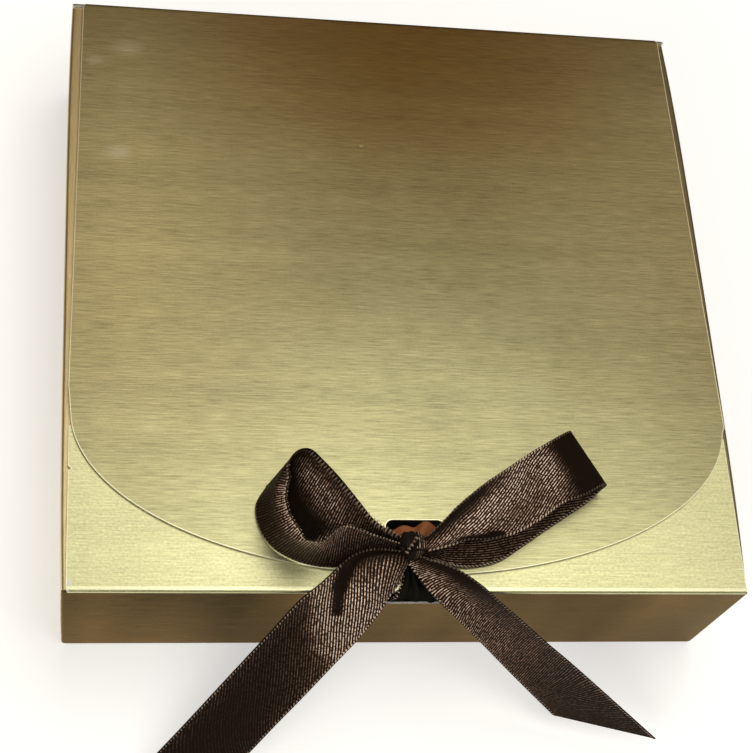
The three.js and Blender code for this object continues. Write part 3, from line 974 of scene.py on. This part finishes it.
class Strip:
    """A length of ribbon between two edges, with a crown and a pleat at each place.

    rows: a place on the left edge, one on the right edge, the crown and the pleat.
    place: turns three numbers of a row into a point.
    marks: start and end as (share along, share across), radius and depth in millimetres, and the
    painted light that each adds, which is painted shade below nought.
    painted light: rows of (percent along, percents from one edge to the other), from painted shade
    to painted highlight.
    waves: how many cross the ribbon, and their height in millimetres at its start and its end.
    """

    def __init__(self, rows, place, marks, painted_light, waves):
        self.left = [place(row[:3]) for row in rows]
        self.right = [place(row[3:6]) for row in rows]
        self.fold = [Vector((row[6] / 100, row[7] / 100, 0)) for row in rows]
        self.painted_light = [(u / 100, [value / 100 for value in values]) for u, values in painted_light]
        self.waves = waves
        self.run = running([self.middle(i / RUN_STEPS) for i in range(RUN_STEPS + 1)])
        self.marks = [(self.flat(*a), self.flat(*b), *rest) for a, b, *rest in marks]

    def middle(self, u):
        return (through(self.left, u) + through(self.right, u)) / 2

    def flat(self, u, w):
        return Vector((between(self.run, u), w * RIBBON))

    def marked(self, u, w, column):
        """The sum of one number of the marks, each of which fades around its line."""
        place = self.flat(u, w)
        return sum(m[column] * falloff(off_line(place, *m[:2]), m[2]) for m in self.marks)

    def at(self, u, w):
        start, end = through(self.left, u), through(self.right, u)
        along = self.middle(min(u + 0.004, 1)) - self.middle(max(u - 0.004, 0))
        lift = (end - start).cross(along).normalized()
        crown, pleat, _ = through(self.fold, u)
        height = (crown * math.sin(math.pi * w) + pleat * math.sin(2 * math.pi * w)) * RIBBON
        count, first_size, last_size = self.waves
        size = first_size + (last_size - first_size) * u
        height += size * (1 - math.cos(2 * math.pi * count * w)) / 2 - self.marked(u, w, 3)
        return start.lerp(end, w) + lift * height

    def painted_light_at(self, u, w):
        for (u0, row0), (u1, row1) in zip(self.painted_light, self.painted_light[1:]):
            if u <= u1:
                break
        share = min(max((u - u0) / (u1 - u0), 0), 1)
        value = between(row0, w) * (1 - share) + between(row1, w) * share
        return min(max(value + self.marked(u, w, 4), 0), 1)


def ribbon_mesh(name, strip, steps, rib_angle, finish, across=24):
    """The mesh of a strip, its length and its area, with the flat and the threads' UV maps."""
    columns = range(across + 1)
    rows = [[strip.at(i / steps, j / across) for j in columns] for i in range(steps + 1)]
    travelled = running([row[across // 2] for row in rows])
    widths = [min((row[across] - row[0]).length, RIBBON) * MM for row in rows]
    cos, sin = math.cos(math.radians(rib_angle)), math.sin(math.radians(rib_angle))
    work = bmesh.new()
    uv = work.loops.layers.uv.new("UVMap")
    threads = work.loops.layers.uv.new("threads")
    painted_light = work.verts.layers.float.new("painted_light")
    vertices = {}
    for k, i, j in product((0, 1), range(steps + 1), columns):
        ahead, behind = rows[min(i + 1, steps)][j], rows[max(i - 1, 0)][j]
        right, left = rows[i][min(j + 1, across)], rows[i][max(j - 1, 0)]
        normal = (right - left).cross(ahead - behind).normalized()
        vertex = work.verts.new((rows[i][j] + normal * (0.5 - k) * THICK) * MM)
        # Each vertex gets the painted light and shade of the strip's rows and marks.
        vertex[painted_light] = strip.painted_light_at(i / steps, j / across)
        vertices[k, i, j] = vertex

    def face(corners):
        made = work.faces.new([vertices[corner] for corner in corners])
        made.smooth = True
        for loop, (_, i, j) in zip(made.loops, corners):
            a, b = travelled[i] * MM, j / across * RIBBON * MM
            loop[uv].uv = (a, b)
            b = (j / across - 0.5) * widths[i]
            loop[threads].uv = (a * cos + b * sin, b * cos - a * sin)

    for i, j in product(range(steps), range(across)):
        square = [(i, j), (i, j + 1), (i + 1, j + 1), (i + 1, j)]
        face([(0, *p) for p in square])
        face([(1, *p) for p in reversed(square)])
    border = [((i, j), (i + 1, j)) for j in (0, across) for i in range(steps)]
    border += [((i, j), (i, j + 1)) for i in (0, steps) for j in range(across)]
    for p, q in border:
        face([(0, *p), (0, *q), (1, *q), (1, *p)])
    bmesh.ops.recalc_face_normals(work, faces=work.faces)
    area = sum(f.calc_area() for f in work.faces) / 2
    return finished_mesh(name, work, [finish], EDGE_ANGLE), travelled[-1], area


# %% [markdown]
# ## Selvedge stitches
#
# A thread loops round the ribbon's edge about once a millimetre. Hundreds of small loops are a
# job for Geometry Nodes. The tree takes the edge lines, spaces points along them and lays one
# short stroke of thread on each. A vector on every line says how the strokes slant and how long
# they are, and the ribbon's painted light and shade go with them, so the stitches are painted
# bright or dark as well.

# %% Build the stitch tree
STITCH = {"Spacing": 1.15, "Length": 1.4, "Width": 0.62}
STITCH_VARIATION = (0.82, 1.12)


def stitch_tree():
    tree = bpy.data.node_groups.new("selvedge_stitches", "GeometryNodeTree")
    face = tree.interface
    face.new_socket("Edge Lines", in_out="INPUT", socket_type="NodeSocketGeometry")
    for name in STITCH:
        face.new_socket(name, in_out="INPUT", socket_type="NodeSocketFloat")
    face.new_socket("Finish", in_out="INPUT", socket_type="NodeSocketMaterial")
    face.new_socket("Stitches", in_out="OUTPUT", socket_type="NodeSocketGeometry")
    graph = Graph(tree)
    node = graph.node
    given = node("NodeGroupInput").socket.node.outputs
    edges, spacing, length, width, finish = (Value(graph, socket) for socket in given[:5])
    line = node("GeometryNodeMeshToCurve", values={"Mesh": edges})
    values = {"Curve": line, "Length": spacing}
    spaced = node("GeometryNodeResampleCurve", {"mode": "LENGTH"}, values)
    named = {"data_type": "FLOAT_VECTOR"}
    stroke = node("GeometryNodeInputNamedAttribute", named, {"Name": "stroke"})
    turn = node("FunctionNodeAlignRotationToVector", {"axis": "X"}, {"Vector": stroke})
    size = graph.vector(graph.length(stroke) * length, width, width)
    values = {2: STITCH_VARIATION[0], 3: STITCH_VARIATION[1], "Seed": SEED}
    varied = node("FunctionNodeRandomValue", {"data_type": "FLOAT"}, values, 1)
    scaled = node("ShaderNodeVectorMath", {"operation": "SCALE"}, {0: size, "Scale": varied})
    bead = node("GeometryNodeMeshUVSphere", values={"Segments": 6, "Rings": 4, "Radius": 0.5})
    values = {"Points": spaced, "Instance": bead, "Rotation": turn, "Scale": scaled}
    placed = node("GeometryNodeInstanceOnPoints", values=values)
    smooth = node("GeometryNodeSetShadeSmooth", values={"Geometry": placed})
    solid = node("GeometryNodeRealizeInstances", values={"Geometry": smooth})
    done = node("GeometryNodeSetMaterial", values={"Geometry": solid, "Material": finish})
    graph.feed(tree.nodes.new("NodeGroupOutput").inputs["Stitches"], done)
    return tree


stitches = stitch_tree()
socket_ids = {item.name: item.identifier for item in stitches.interface.items_tree}


def sew_edges(name, lines, finish):
    """Stitches along lines of (point, stroke vector, painted light), in millimetres."""
    mesh = bpy.data.meshes.new(name)
    edges, first = [], 0
    for line in lines:
        edges += [(first + i, first + i + 1) for i in range(len(line) - 1)]
        first += len(line)
    stops = [stop for line in lines for stop in line]
    mesh.from_pydata([point * MM for point, _, _ in stops], edges, [])
    # Both attributes are made before either is filled, because making one moves the other.
    mesh.attributes.new("stroke", "FLOAT_VECTOR", "POINT")
    mesh.attributes.new("painted_light", "FLOAT", "POINT")
    strokes = [part for _, stroke, _ in stops for part in stroke]
    mesh.attributes["stroke"].data.foreach_set("vector", strokes)
    mesh.attributes["painted_light"].data.foreach_set("value", [shine for _, _, shine in stops])
    holder = add_object(name + "_lines", mesh)
    modifier = holder.modifiers.new("stitches", "NODES")
    modifier.node_group = stitches
    for size, value in STITCH.items():
        modifier[socket_ids[size]] = value * MM
    modifier[socket_ids["Finish"]] = finish
    made = settled_mesh(holder)
    made.name = name
    return add_object(name, made)


# %% [markdown]
# ## Bow and bands
#
# Each row below has eight numbers: three for a place on one edge, three for the place across
# from it on the other edge, and then the crown and the pleat. The bow's places are measured from
# the knot and the front wall in hundredths of a ribbon's width. Its heights are counted from the
# lid: upwards in the same hundredths, and downwards in hundredths of the carton's height. The
# bands' places are in millimetres. Crown and pleat are in hundredths of a ribbon's width
# everywhere. The left loop stands on its edge, the right loop lies in two layers, and the tails
# drape over the front fold.

# %% Write down the places that the ribbon goes through
left_loop = [
    (-13, 54, 14, -13, 56, 41, 0, 2),
    (-53, 50, 7, -60, 59, 70, -3, 3),
    (-90, 37, 4.5, -110, 66, 94, -4, 2),
    (-133, 36, 4, -143, 39, 102, -5, 0),
    (-173, 48, 4, -174, 44, 103, -5, 0),
    (-201, 68, 4, -192, 66, 103, -4, 0),
    (-217, 99, 4, -200, 98, 103, -3, 0),
    (-219, 130, 4.5, -197, 123, 103, -2, 0),
    (-206, 152.5, 5, -186, 151.5, 102.5, -1, 0),
    (-202, 158, 5, -169, 177, 92.5, 0, 0),
    (-197, 145, 4.5, -148, 186, 77.5, 0, 0),
    (-193, 112, 4, -126, 174, 62.5, 0, 0),
    (-168, 80, 4, -100, 149, 52.5, 2, 0),
    (-121, 67, 4, -75, 119, 45, 3, 0),
    (-69.5, 67.5, 7, -52, 94.5, 35, 2, 2),
    (-13, 60, 15, -13, 66, 37.5, 0, 2),
]
right_loop = [
    (17, 48, 36, 17, 66, 37, 2, 2),
    (49, 52, 48, 45, 90, 47, 4, 4),
    (77, 57, 57, 65, 110, 53, 6, 4),
    (107, 56, 61, 86, 128, 55, 6, 3),
    (147, 67, 62.5, 110, 147, 55, 5, 2),
    (184, 87, 62.5, 145, 171, 54, 4, 0),
    (223, 115, 59, 178, 194, 52, 3, 0),
    (262, 132, 51, 214, 217, 47, 1, 0),
    (295, 152, 39, 248, 239, 36, 0, 0),
    (305, 158, 25, 258, 246, 25, 0, 0),
    (299, 155, 11, 252, 242, 11, 0, 0),
    (280, 139, 5, 229, 225, 5, 0, 0),
    (246, 117, 4, 195, 203, 4, 0, 0),
    (200, 87, 4, 148, 172, 4, 0, 0),
    (166, 64, 4, 114, 148, 4, 0, 0),
    (132, 44, 4.5, 83, 123, 4, -2, 0),
    (89, 35.5, 5, 56, 98, 5, -3, 1),
    (55, 39, 8, 39, 77, 7, -2, 2),
    (15, 47, 15, 15, 64, 15, 0, 2),
]
left_tail = [
    (-13, 48, 36, -6, 36, 22, 0, 2),
    (-63, 45, 53, -14, 20, 22, -3, 8),
    (-96, 35, 54, -20, 6, 18, -2, 10),
    (-112, 21, 42, -32, -10, 13, 0, 9),
    (-132, 5, 26, -46, -30, -1.5, 2, 7),
    (-162, -15, 5, -72, -57, -18, 3, 4),
    (-197, -46, -13, -107, -88, -33, 2, 2),
    (-232, -77, -28, -142, -119, -48, 1, 0),
    (-267, -108, -43, -178, -150, -62, 0, 0),
    (-302, -140, -57, -204, -173, -73, 0, 0),
    (-357, -188, -80, -228, -194, -83, 0, 0),
]
right_tail = [
    (-5, 37, 20, 14, 40, 31, 0, 2),
    (8, 14, 22, 62, 22, 36, 8, 4),
    (35, -13.5, 7, 100, 0, 27, 10, 3),
    (80, -34, -16, 122, -11.5, 10, 9, 2),
    (127, -52, -38, 166.5, -34, -9.4, 6, 0),
    (172, -73, -57.5, 210.5, -57, -22.8, 3, 0),
    (214.5, -98, -72, 260, -81, -37.5, 1, 0),
    (259, -126, -85.6, 421, -164.5, -86.6, 0, 0),
]
front_band = [
    (-4.4, -91.6, 51.4, 0.2, -91.6, 51.4, 0, 1),
    (-4.7, -97.5, 50.7, 2.2, -97.5, 50.7, 1, 1),
    (-5.8, -99.4, 50.4, 4, -99.4, 50.4, 1, 1),
    (-6.7, -101, 49.1, 5.6, -101, 49.1, 1, 1),
    (-7.6, -101, 46, 6.8, -101, 46, 0, 1.5),
    (-8.2, -100.1, 43.4, 7.6, -100.1, 43.4, 0, 1.5),
]
rear_band = [
    (-6.8, -86.4, 52.3, 2.4, -86.4, 52.3, 0, 1),
    (-7.6, -83.6, 50.7, 5.2, -83, 50.8, 2, 0),
    (-7.9, -82.2, 49.6, 7.6, -80.8, 49.6, 5, 0),
    (-7.9, -81.9, 47.8, 8.4, -80.2, 47.8, 5, 0),
]
inner_band = [
    (-8.2, -99.7, 42, 7.6, -99.7, 42, 0, 1.5),
    (-8.1, -95, 42, 7.6, -95, 42, 0, 1),
    (-8.1, -88, 43.4, 7.4, -88, 43.4, 1, 0),
    (-8.1, -83, 45.5, 7, -83, 45.5, 1, 0),
    (-8.1, -81, 46.8, 6.8, -81, 46.8, 1, 0),
]

# %% [markdown]
# The rows of painted light say where the ribs shine as a painted highlight and where they lie in
# painted shade: at so many percent of the ribbon's length, the values from one edge to the other,
# also in percent. A mark is a valley or a ridge along a line between two places on the flat
# ribbon, and it also paints shade where its last number is below nought, and a highlight where it
# is above. The left tail has one deep valley, from the knot to its middle, which is painted dark.

# %% Write down the painted light and the valleys
left_loop_painted_light = [
    (0, (10, 15, 20, 25, 30)),
    (10, (5, 10, 30, 45, 50)),
    (18, (10, 25, 45, 60, 60)),
    (27, (18, 22, 26, 60, 75)),
    (36, (16, 20, 18, 35, 80)),
    (46, (16, 20, 17, 30, 70)),
    (53, (12, 14, 8, 10, 30)),
    (60, (0, 0, 0, 0, 0, 0, 0, 5, 0)),
    (65, (0, 0, 0, 0, 0, 10, 42, 20, 0)),
    (70, (0, 0, 0, 0, 5, 55, 62, 28, 0)),
    (76, (0, 0, 0, 0, 25, 68, 68, 32, 0)),
    (82, (0, 0, 0, 5, 55, 68, 62, 32, 5)),
    (86, (10, 30, 30, 40, 55, 52, 42, 30, 30)),
    (90, (25, 30, 35, 40, 45, 40, 35, 30, 50)),
    (94, (10, 15, 25, 25, 50)),
    (100, (10, 10, 10, 20, 20)),
]
right_loop_painted_light = [
    (0, (25, 34, 42, 42, 34, 25, 17, 8, 8)),
    (5, (59, 71, 76, 71, 59, 34, 8, 0, 0)),
    (10, (59, 67, 76, 80, 76, 50, 8, 0, 0)),
    (16, (67, 67, 71, 80, 84, 76, 34, 0, 0)),
    (21, (76, 63, 59, 71, 76, 84, 76, 13, 0)),
    (27, (71, 59, 55, 55, 63, 71, 80, 59, 34)),
    (32, (71, 63, 59, 59, 67, 71, 80, 80, 76)),
    (33.5, (67, 80, 80, 84, 84)),
    (35, (25, 80, 80, 84, 84)),
    (37, (3, 59, 76, 80, 76)),
    (38.5, (0, 8, 34, 34, 34)),
    (40, (0, 0, 0, 0, 0)),
    (43, (2, 2, 2, 2, 2)),
    (55, (2, 2, 2, 2, 2)),
    (62, (38, 30, 15, 5, 2)),
    (68, (30, 30, 20, 10, 2)),
    (78, (30, 35, 30, 12, 0)),
    (86, (40, 44, 40, 20, 5)),
    (93, (45, 46, 44, 30, 10)),
    (100, (17, 17, 17, 8, 8)),
]
left_tail_painted_light = [
    (0, (2, 5, 20, 30, 30)),
    (10, (0, 8, 50, 55, 50)),
    (20, (10, 15, 60, 65, 60)),
    (30, (50, 40, 65, 75, 70)),
    (40, (90, 95, 95, 95, 80)),
    (45, (90, 100, 100, 100, 70)),
    (49, (30, 90, 100, 100, 80)),
    (53, (25, 25, 100, 100, 90)),
    (57, (25, 15, 30, 90, 80)),
    (61, (20, 14, 18, 30, 40)),
    (70, (20, 10, 14, 16, 30)),
    (80, (20, 8, 8, 10, 20)),
    (100, (15, 6, 6, 6, 15)),
]
right_tail_painted_light = [
    (0, (50, 55, 40, 5, 0)),
    (14, (75, 75, 50, 0, 0)),
    (29, (75, 70, 50, 10, 0)),
    (43, (55, 55, 45, 25, 10)),
    (57, (45, 50, 45, 35, 25)),
    (71, (40, 35, 40, 35, 30)),
    (86, (35, 25, 25, 25, 30)),
    (100, (25, 15, 15, 15, 20)),
]
left_loop_marks = [
    ((0.845, 0.03), (0.862, 0.28), 1.4, -0.5, 0.6),
    ((0.29, 1.0), (0.49, 1.0), 5.0, 2.2, 0.25),
]
right_loop_marks = [
    ((0.105, 0.04), (0.185, 0.06), 3.0, 0.8, -2.2),
]
left_tail_marks = [
    ((0.02, 0.06), (0.20, 0.08), 3.4, 0.4, -0.9),
    ((0.20, 0.08), (0.385, 0.27), 3.2, 0.8, -1.2),
    ((0.385, 0.27), (0.465, 0.50), 2.6, 0.5, -1.3),
]
rear_band_marks = [
    ((0, 0.22), (1, 0.22), 4.0, 0.9, 0),
]
front_band_painted_light = [
    (0, (10, 5, 5)),
    (30, (60, 5, 5)),
    (60, (80, 5, 10)),
    (75, (10, 4, 10)),
    (100, (5, 4, 5)),
]
plain = [(0, (10, 10)), (100, (10, 10))]

# %% [markdown]
# Each length has a number of steps, its own slant of the ribs in degrees from its run, and for
# each edge the slant and the length of its stitches. Those of the left loop's upper edge stand
# across it and are long, and elsewhere they follow the ribs.

# %% Make each length of ribbon
lengths = {
    "left_loop": (left_loop, left_loop_marks, left_loop_painted_light, 150, -79, ((36, 1), (84, 1.5))),
    "right_loop": (right_loop, right_loop_marks, right_loop_painted_light, 150, 23, ((36, 1), (36, 1))),
    "left_tail": (left_tail, left_tail_marks, left_tail_painted_light, 110, 33, ((40, 1), (40, 1))),
    "right_tail": (right_tail, (), right_tail_painted_light, 90, 100, ((100, 0.8), (60, 0.8))),
    "front_band": (front_band, (), front_band_painted_light, 36, 90, ((70, 1.1), (70, 0.8))),
    "rear_band": (rear_band, rear_band_marks, plain, 24, 90, ((70, 0.8), (70, 0.8))),
    "inner_band": (inner_band, (), plain, 24, 90, ((70, 0.8), (70, 0.8))),
}
waves = {"front_band": (3, -2.6, -0.1), "rear_band": (2, 2.4, 1.6)}
finishes = {"front_band": satin_painted_shade, "rear_band": satin_painted_warm_light}


def edge_line(strip, steps, w, angle, long):
    """One edge of a strip as (point, stroke, painted light), with the strokes turned from its run.
    """
    line = []
    cos, sin = math.cos(math.radians(angle)), math.sin(math.radians(angle))
    inset = STITCH["Length"] * long * sin * 0.46 / RIBBON
    w, inner = (inset, inset + 0.04) if w < 0.5 else (1 - inset, 0.96 - inset)
    for i in range(2, steps + 1):
        u = i / steps
        point = strip.at(u, w)
        run = (strip.at(min(u + 0.01, 1), w) - strip.at(u - 0.01, w)).normalized()
        over = (strip.at(u, max(w, inner)) - strip.at(u, min(w, inner))).normalized()
        # The stitches take the ribbon's painted light and shade.
        shine = 0.06 + 0.88 * strip.painted_light_at(u, w)
        line.append((point, (run * cos + over * sin) * long, shine))
    return line


for part, (stations, marks, painted_light, steps, rib_angle, strokes) in lengths.items():
    banded = part.endswith("band")
    place = Vector if banded else bow_point
    strip = Strip(stations, place, marks, painted_light, waves.get(part, (0, 0, 0)))
    finish = finishes.get(part, satin_face)
    mesh, length, area = ribbon_mesh("satin_" + part, strip, steps, rib_angle, finish)
    piece = add_object("satin_" + part, mesh)
    body = "tray" if part == "inner_band" else "lid"
    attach(piece, body)
    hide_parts("ribbon_" + part)
    lines = [edge_line(strip, steps, w, *stroke) for w, stroke in zip((0, 1), strokes)]
    edge = sew_edges(part + "_stitches", lines, satin_thread)
    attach(edge, body)
    max(length * MM, 0.01)
    share = round(area / (RIBBON * length * MM * MM), 2)
    print(part, round(length, 1), "mm long, with", share, "of the flat ribbon's area")

# %% [markdown]
# ## Knot
#
# The knot is a short wrap of the same ribbon, pulled tight, so it bunches into folds. It starts
# as a boxy pebble. Creases are pressed into it and one folded edge is raised, each along a line
# between two places that are measured from the knot's middle. The raised edge is stitched. The
# front half is drawn in to a blunt point, where the two tails leave it. A crease has its two
# ends, its radius, its depth and what it adds to the painted light: the creases get painted
# shade and the raised edge a painted highlight. One side of the knot gets more painted light
# than the other, as if lit.

# %% Shape the knot
KNOT_MIDDLE = Vector((-2.4, -89.0, 54.8))
KNOT_HALF = Vector((4.7, 5.2, 4.5))
BOXINESS = 2.7
STITCHED = 9
LIT_SIDE = 0.8
DRAWN_IN = 0.72
DRAWN_TO = -1.5
SHORTENED = 0.74
folded_edge = (Vector((-2.3, -2.3, 4.0)), Vector((0.8, 2.0, 4.3)))
creases = [
    (Vector((-3.6, 0.3, 3.5)), Vector((-1.8, -3.8, 3.5)), 0.9, 0.5, -0.6),
    (*folded_edge, 0.8, -0.35, 0.8),
    (Vector((-1.3, -3.1, 3.9)), Vector((1.2, 1.0, 4.4)), 0.9, 0.7, -0.9),
    (Vector((0.9, 2.1, 4.3)), Vector((0.9, 4.0, 3.0)), 0.7, 0.4, -0.5),
    (Vector((-1.1, -3.4, 3.9)), Vector((1.6, -2.2, 4.2)), 0.8, 0.6, -0.7),
    (Vector((1.6, -2.2, 4.2)), Vector((4.4, -1.4, 2.3)), 0.8, 0.6, -0.7),
]


def knot_mesh():
    work = bmesh.new()
    bmesh.ops.create_uvsphere(work, u_segments=120, v_segments=84, radius=1)
    uv = work.loops.layers.uv.new("threads")
    painted_light = work.verts.layers.float.new("painted_light")
    for vertex in work.verts:
        x, y, z = vertex.co
        total = sum(abs(part) ** BOXINESS for part in (x, y, z)) ** (1 / BOXINESS)
        pleat = 0.975 + 0.025 * math.cos(2 * math.pi * 2.5 * x)
        place = Vector((x * KNOT_HALF.x, y * KNOT_HALF.y, z * KNOT_HALF.z)) * (pleat / total)
        outward = place.normalized()
        # Painted light: the side beyond LIT_SIDE gets more sheen, as if lit, and creases add
        # painted shade.
        value = 0.55 if place.x > LIT_SIDE else 0.28
        for start, end, radius, depth, gain in creases:
            near = falloff(off_line(place, start, end), radius)
            place -= outward * depth * near
            value += gain * near
        if place.y < 0:
            place.x += (DRAWN_TO - place.x) * DRAWN_IN * min(-place.y / 4.6, 1) ** 1.3
            place.y *= SHORTENED
        vertex[painted_light] = min(max(value, 0), 1)
        vertex.co = (KNOT_MIDDLE + place) * MM
    for face in work.faces:
        face.smooth = True
        for loop in face.loops:
            place = loop.vert.co / MM - KNOT_MIDDLE
            around = math.atan2(place.z, place.y) * 5.0
            loop[uv].uv = (around * MM, place.x * MM)
    return finished_mesh("satin_knot", work, [satin_knot])


knot = add_object("satin_knot", knot_mesh())
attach(knot, "lid")
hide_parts("ribbon_knot")

fold_start, fold_end = folded_edge
fold_line = []
for i in range(STITCHED):
    place = fold_start.lerp(fold_end, i / (STITCHED - 1)) + Vector((0.0, -0.1, 0.35))
    fold_line.append((KNOT_MIDDLE + place, Vector((0.75, -0.5, 0.2)), 0.25))
fold_stitches = sew_edges("knot_stitches", [fold_line], satin_thread)
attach(fold_stitches, "lid")

# %% [markdown]
# ## Floor
#
# The floor is a plain pale sheet with a very faint tooth, so that the carton's shadow reads. A
# white sweep in a studio looks white because it is lit on its own. Here the floor glows a little
# for the camera and for mirrored rays only, which whitens it and leaves the light as it was.

# %% Lay the floor
FLOOR_REACH = 3
FLOOR_LEVEL = -0.0002
FLOOR_GLOW = 0.44
floor_look = Look("floor_paper")
x, y, z = floor_look.coordinates("Object")
tooth = floor_look.noise(x * 40, y * 40, z, 3.0)
seen = floor_look.node("ShaderNodeLightPath", output="Is Camera Ray")
mirrored = floor_look.node("ShaderNodeLightPath", output="Is Glossy Ray")
floor_paper = floor_look.finish(
    Base_Color=floor_look.tinted((0.92, 0.92, 0.915), (tooth - 0.5) * 0.02 + 1.0),
    Emission_Color=floor_look.grey(seen.math("MAXIMUM", mirrored) * FLOOR_GLOW),
    Emission_Strength=1.0,
    Roughness=0.9,
)
floor_mesh = bpy.data.meshes.new("floor")
square = ((-1, -1), (1, -1), (1, 1), (-1, 1))
corners = [(a * FLOOR_REACH, b * FLOOR_REACH, FLOOR_LEVEL) for a, b in square]
floor_mesh.from_pydata(corners, [], [(0, 1, 2, 3)])
floor_mesh.materials.append(floor_paper)
floor = add_object("floor", floor_mesh)
print("the floor reaches", FLOOR_REACH, "m to each side")
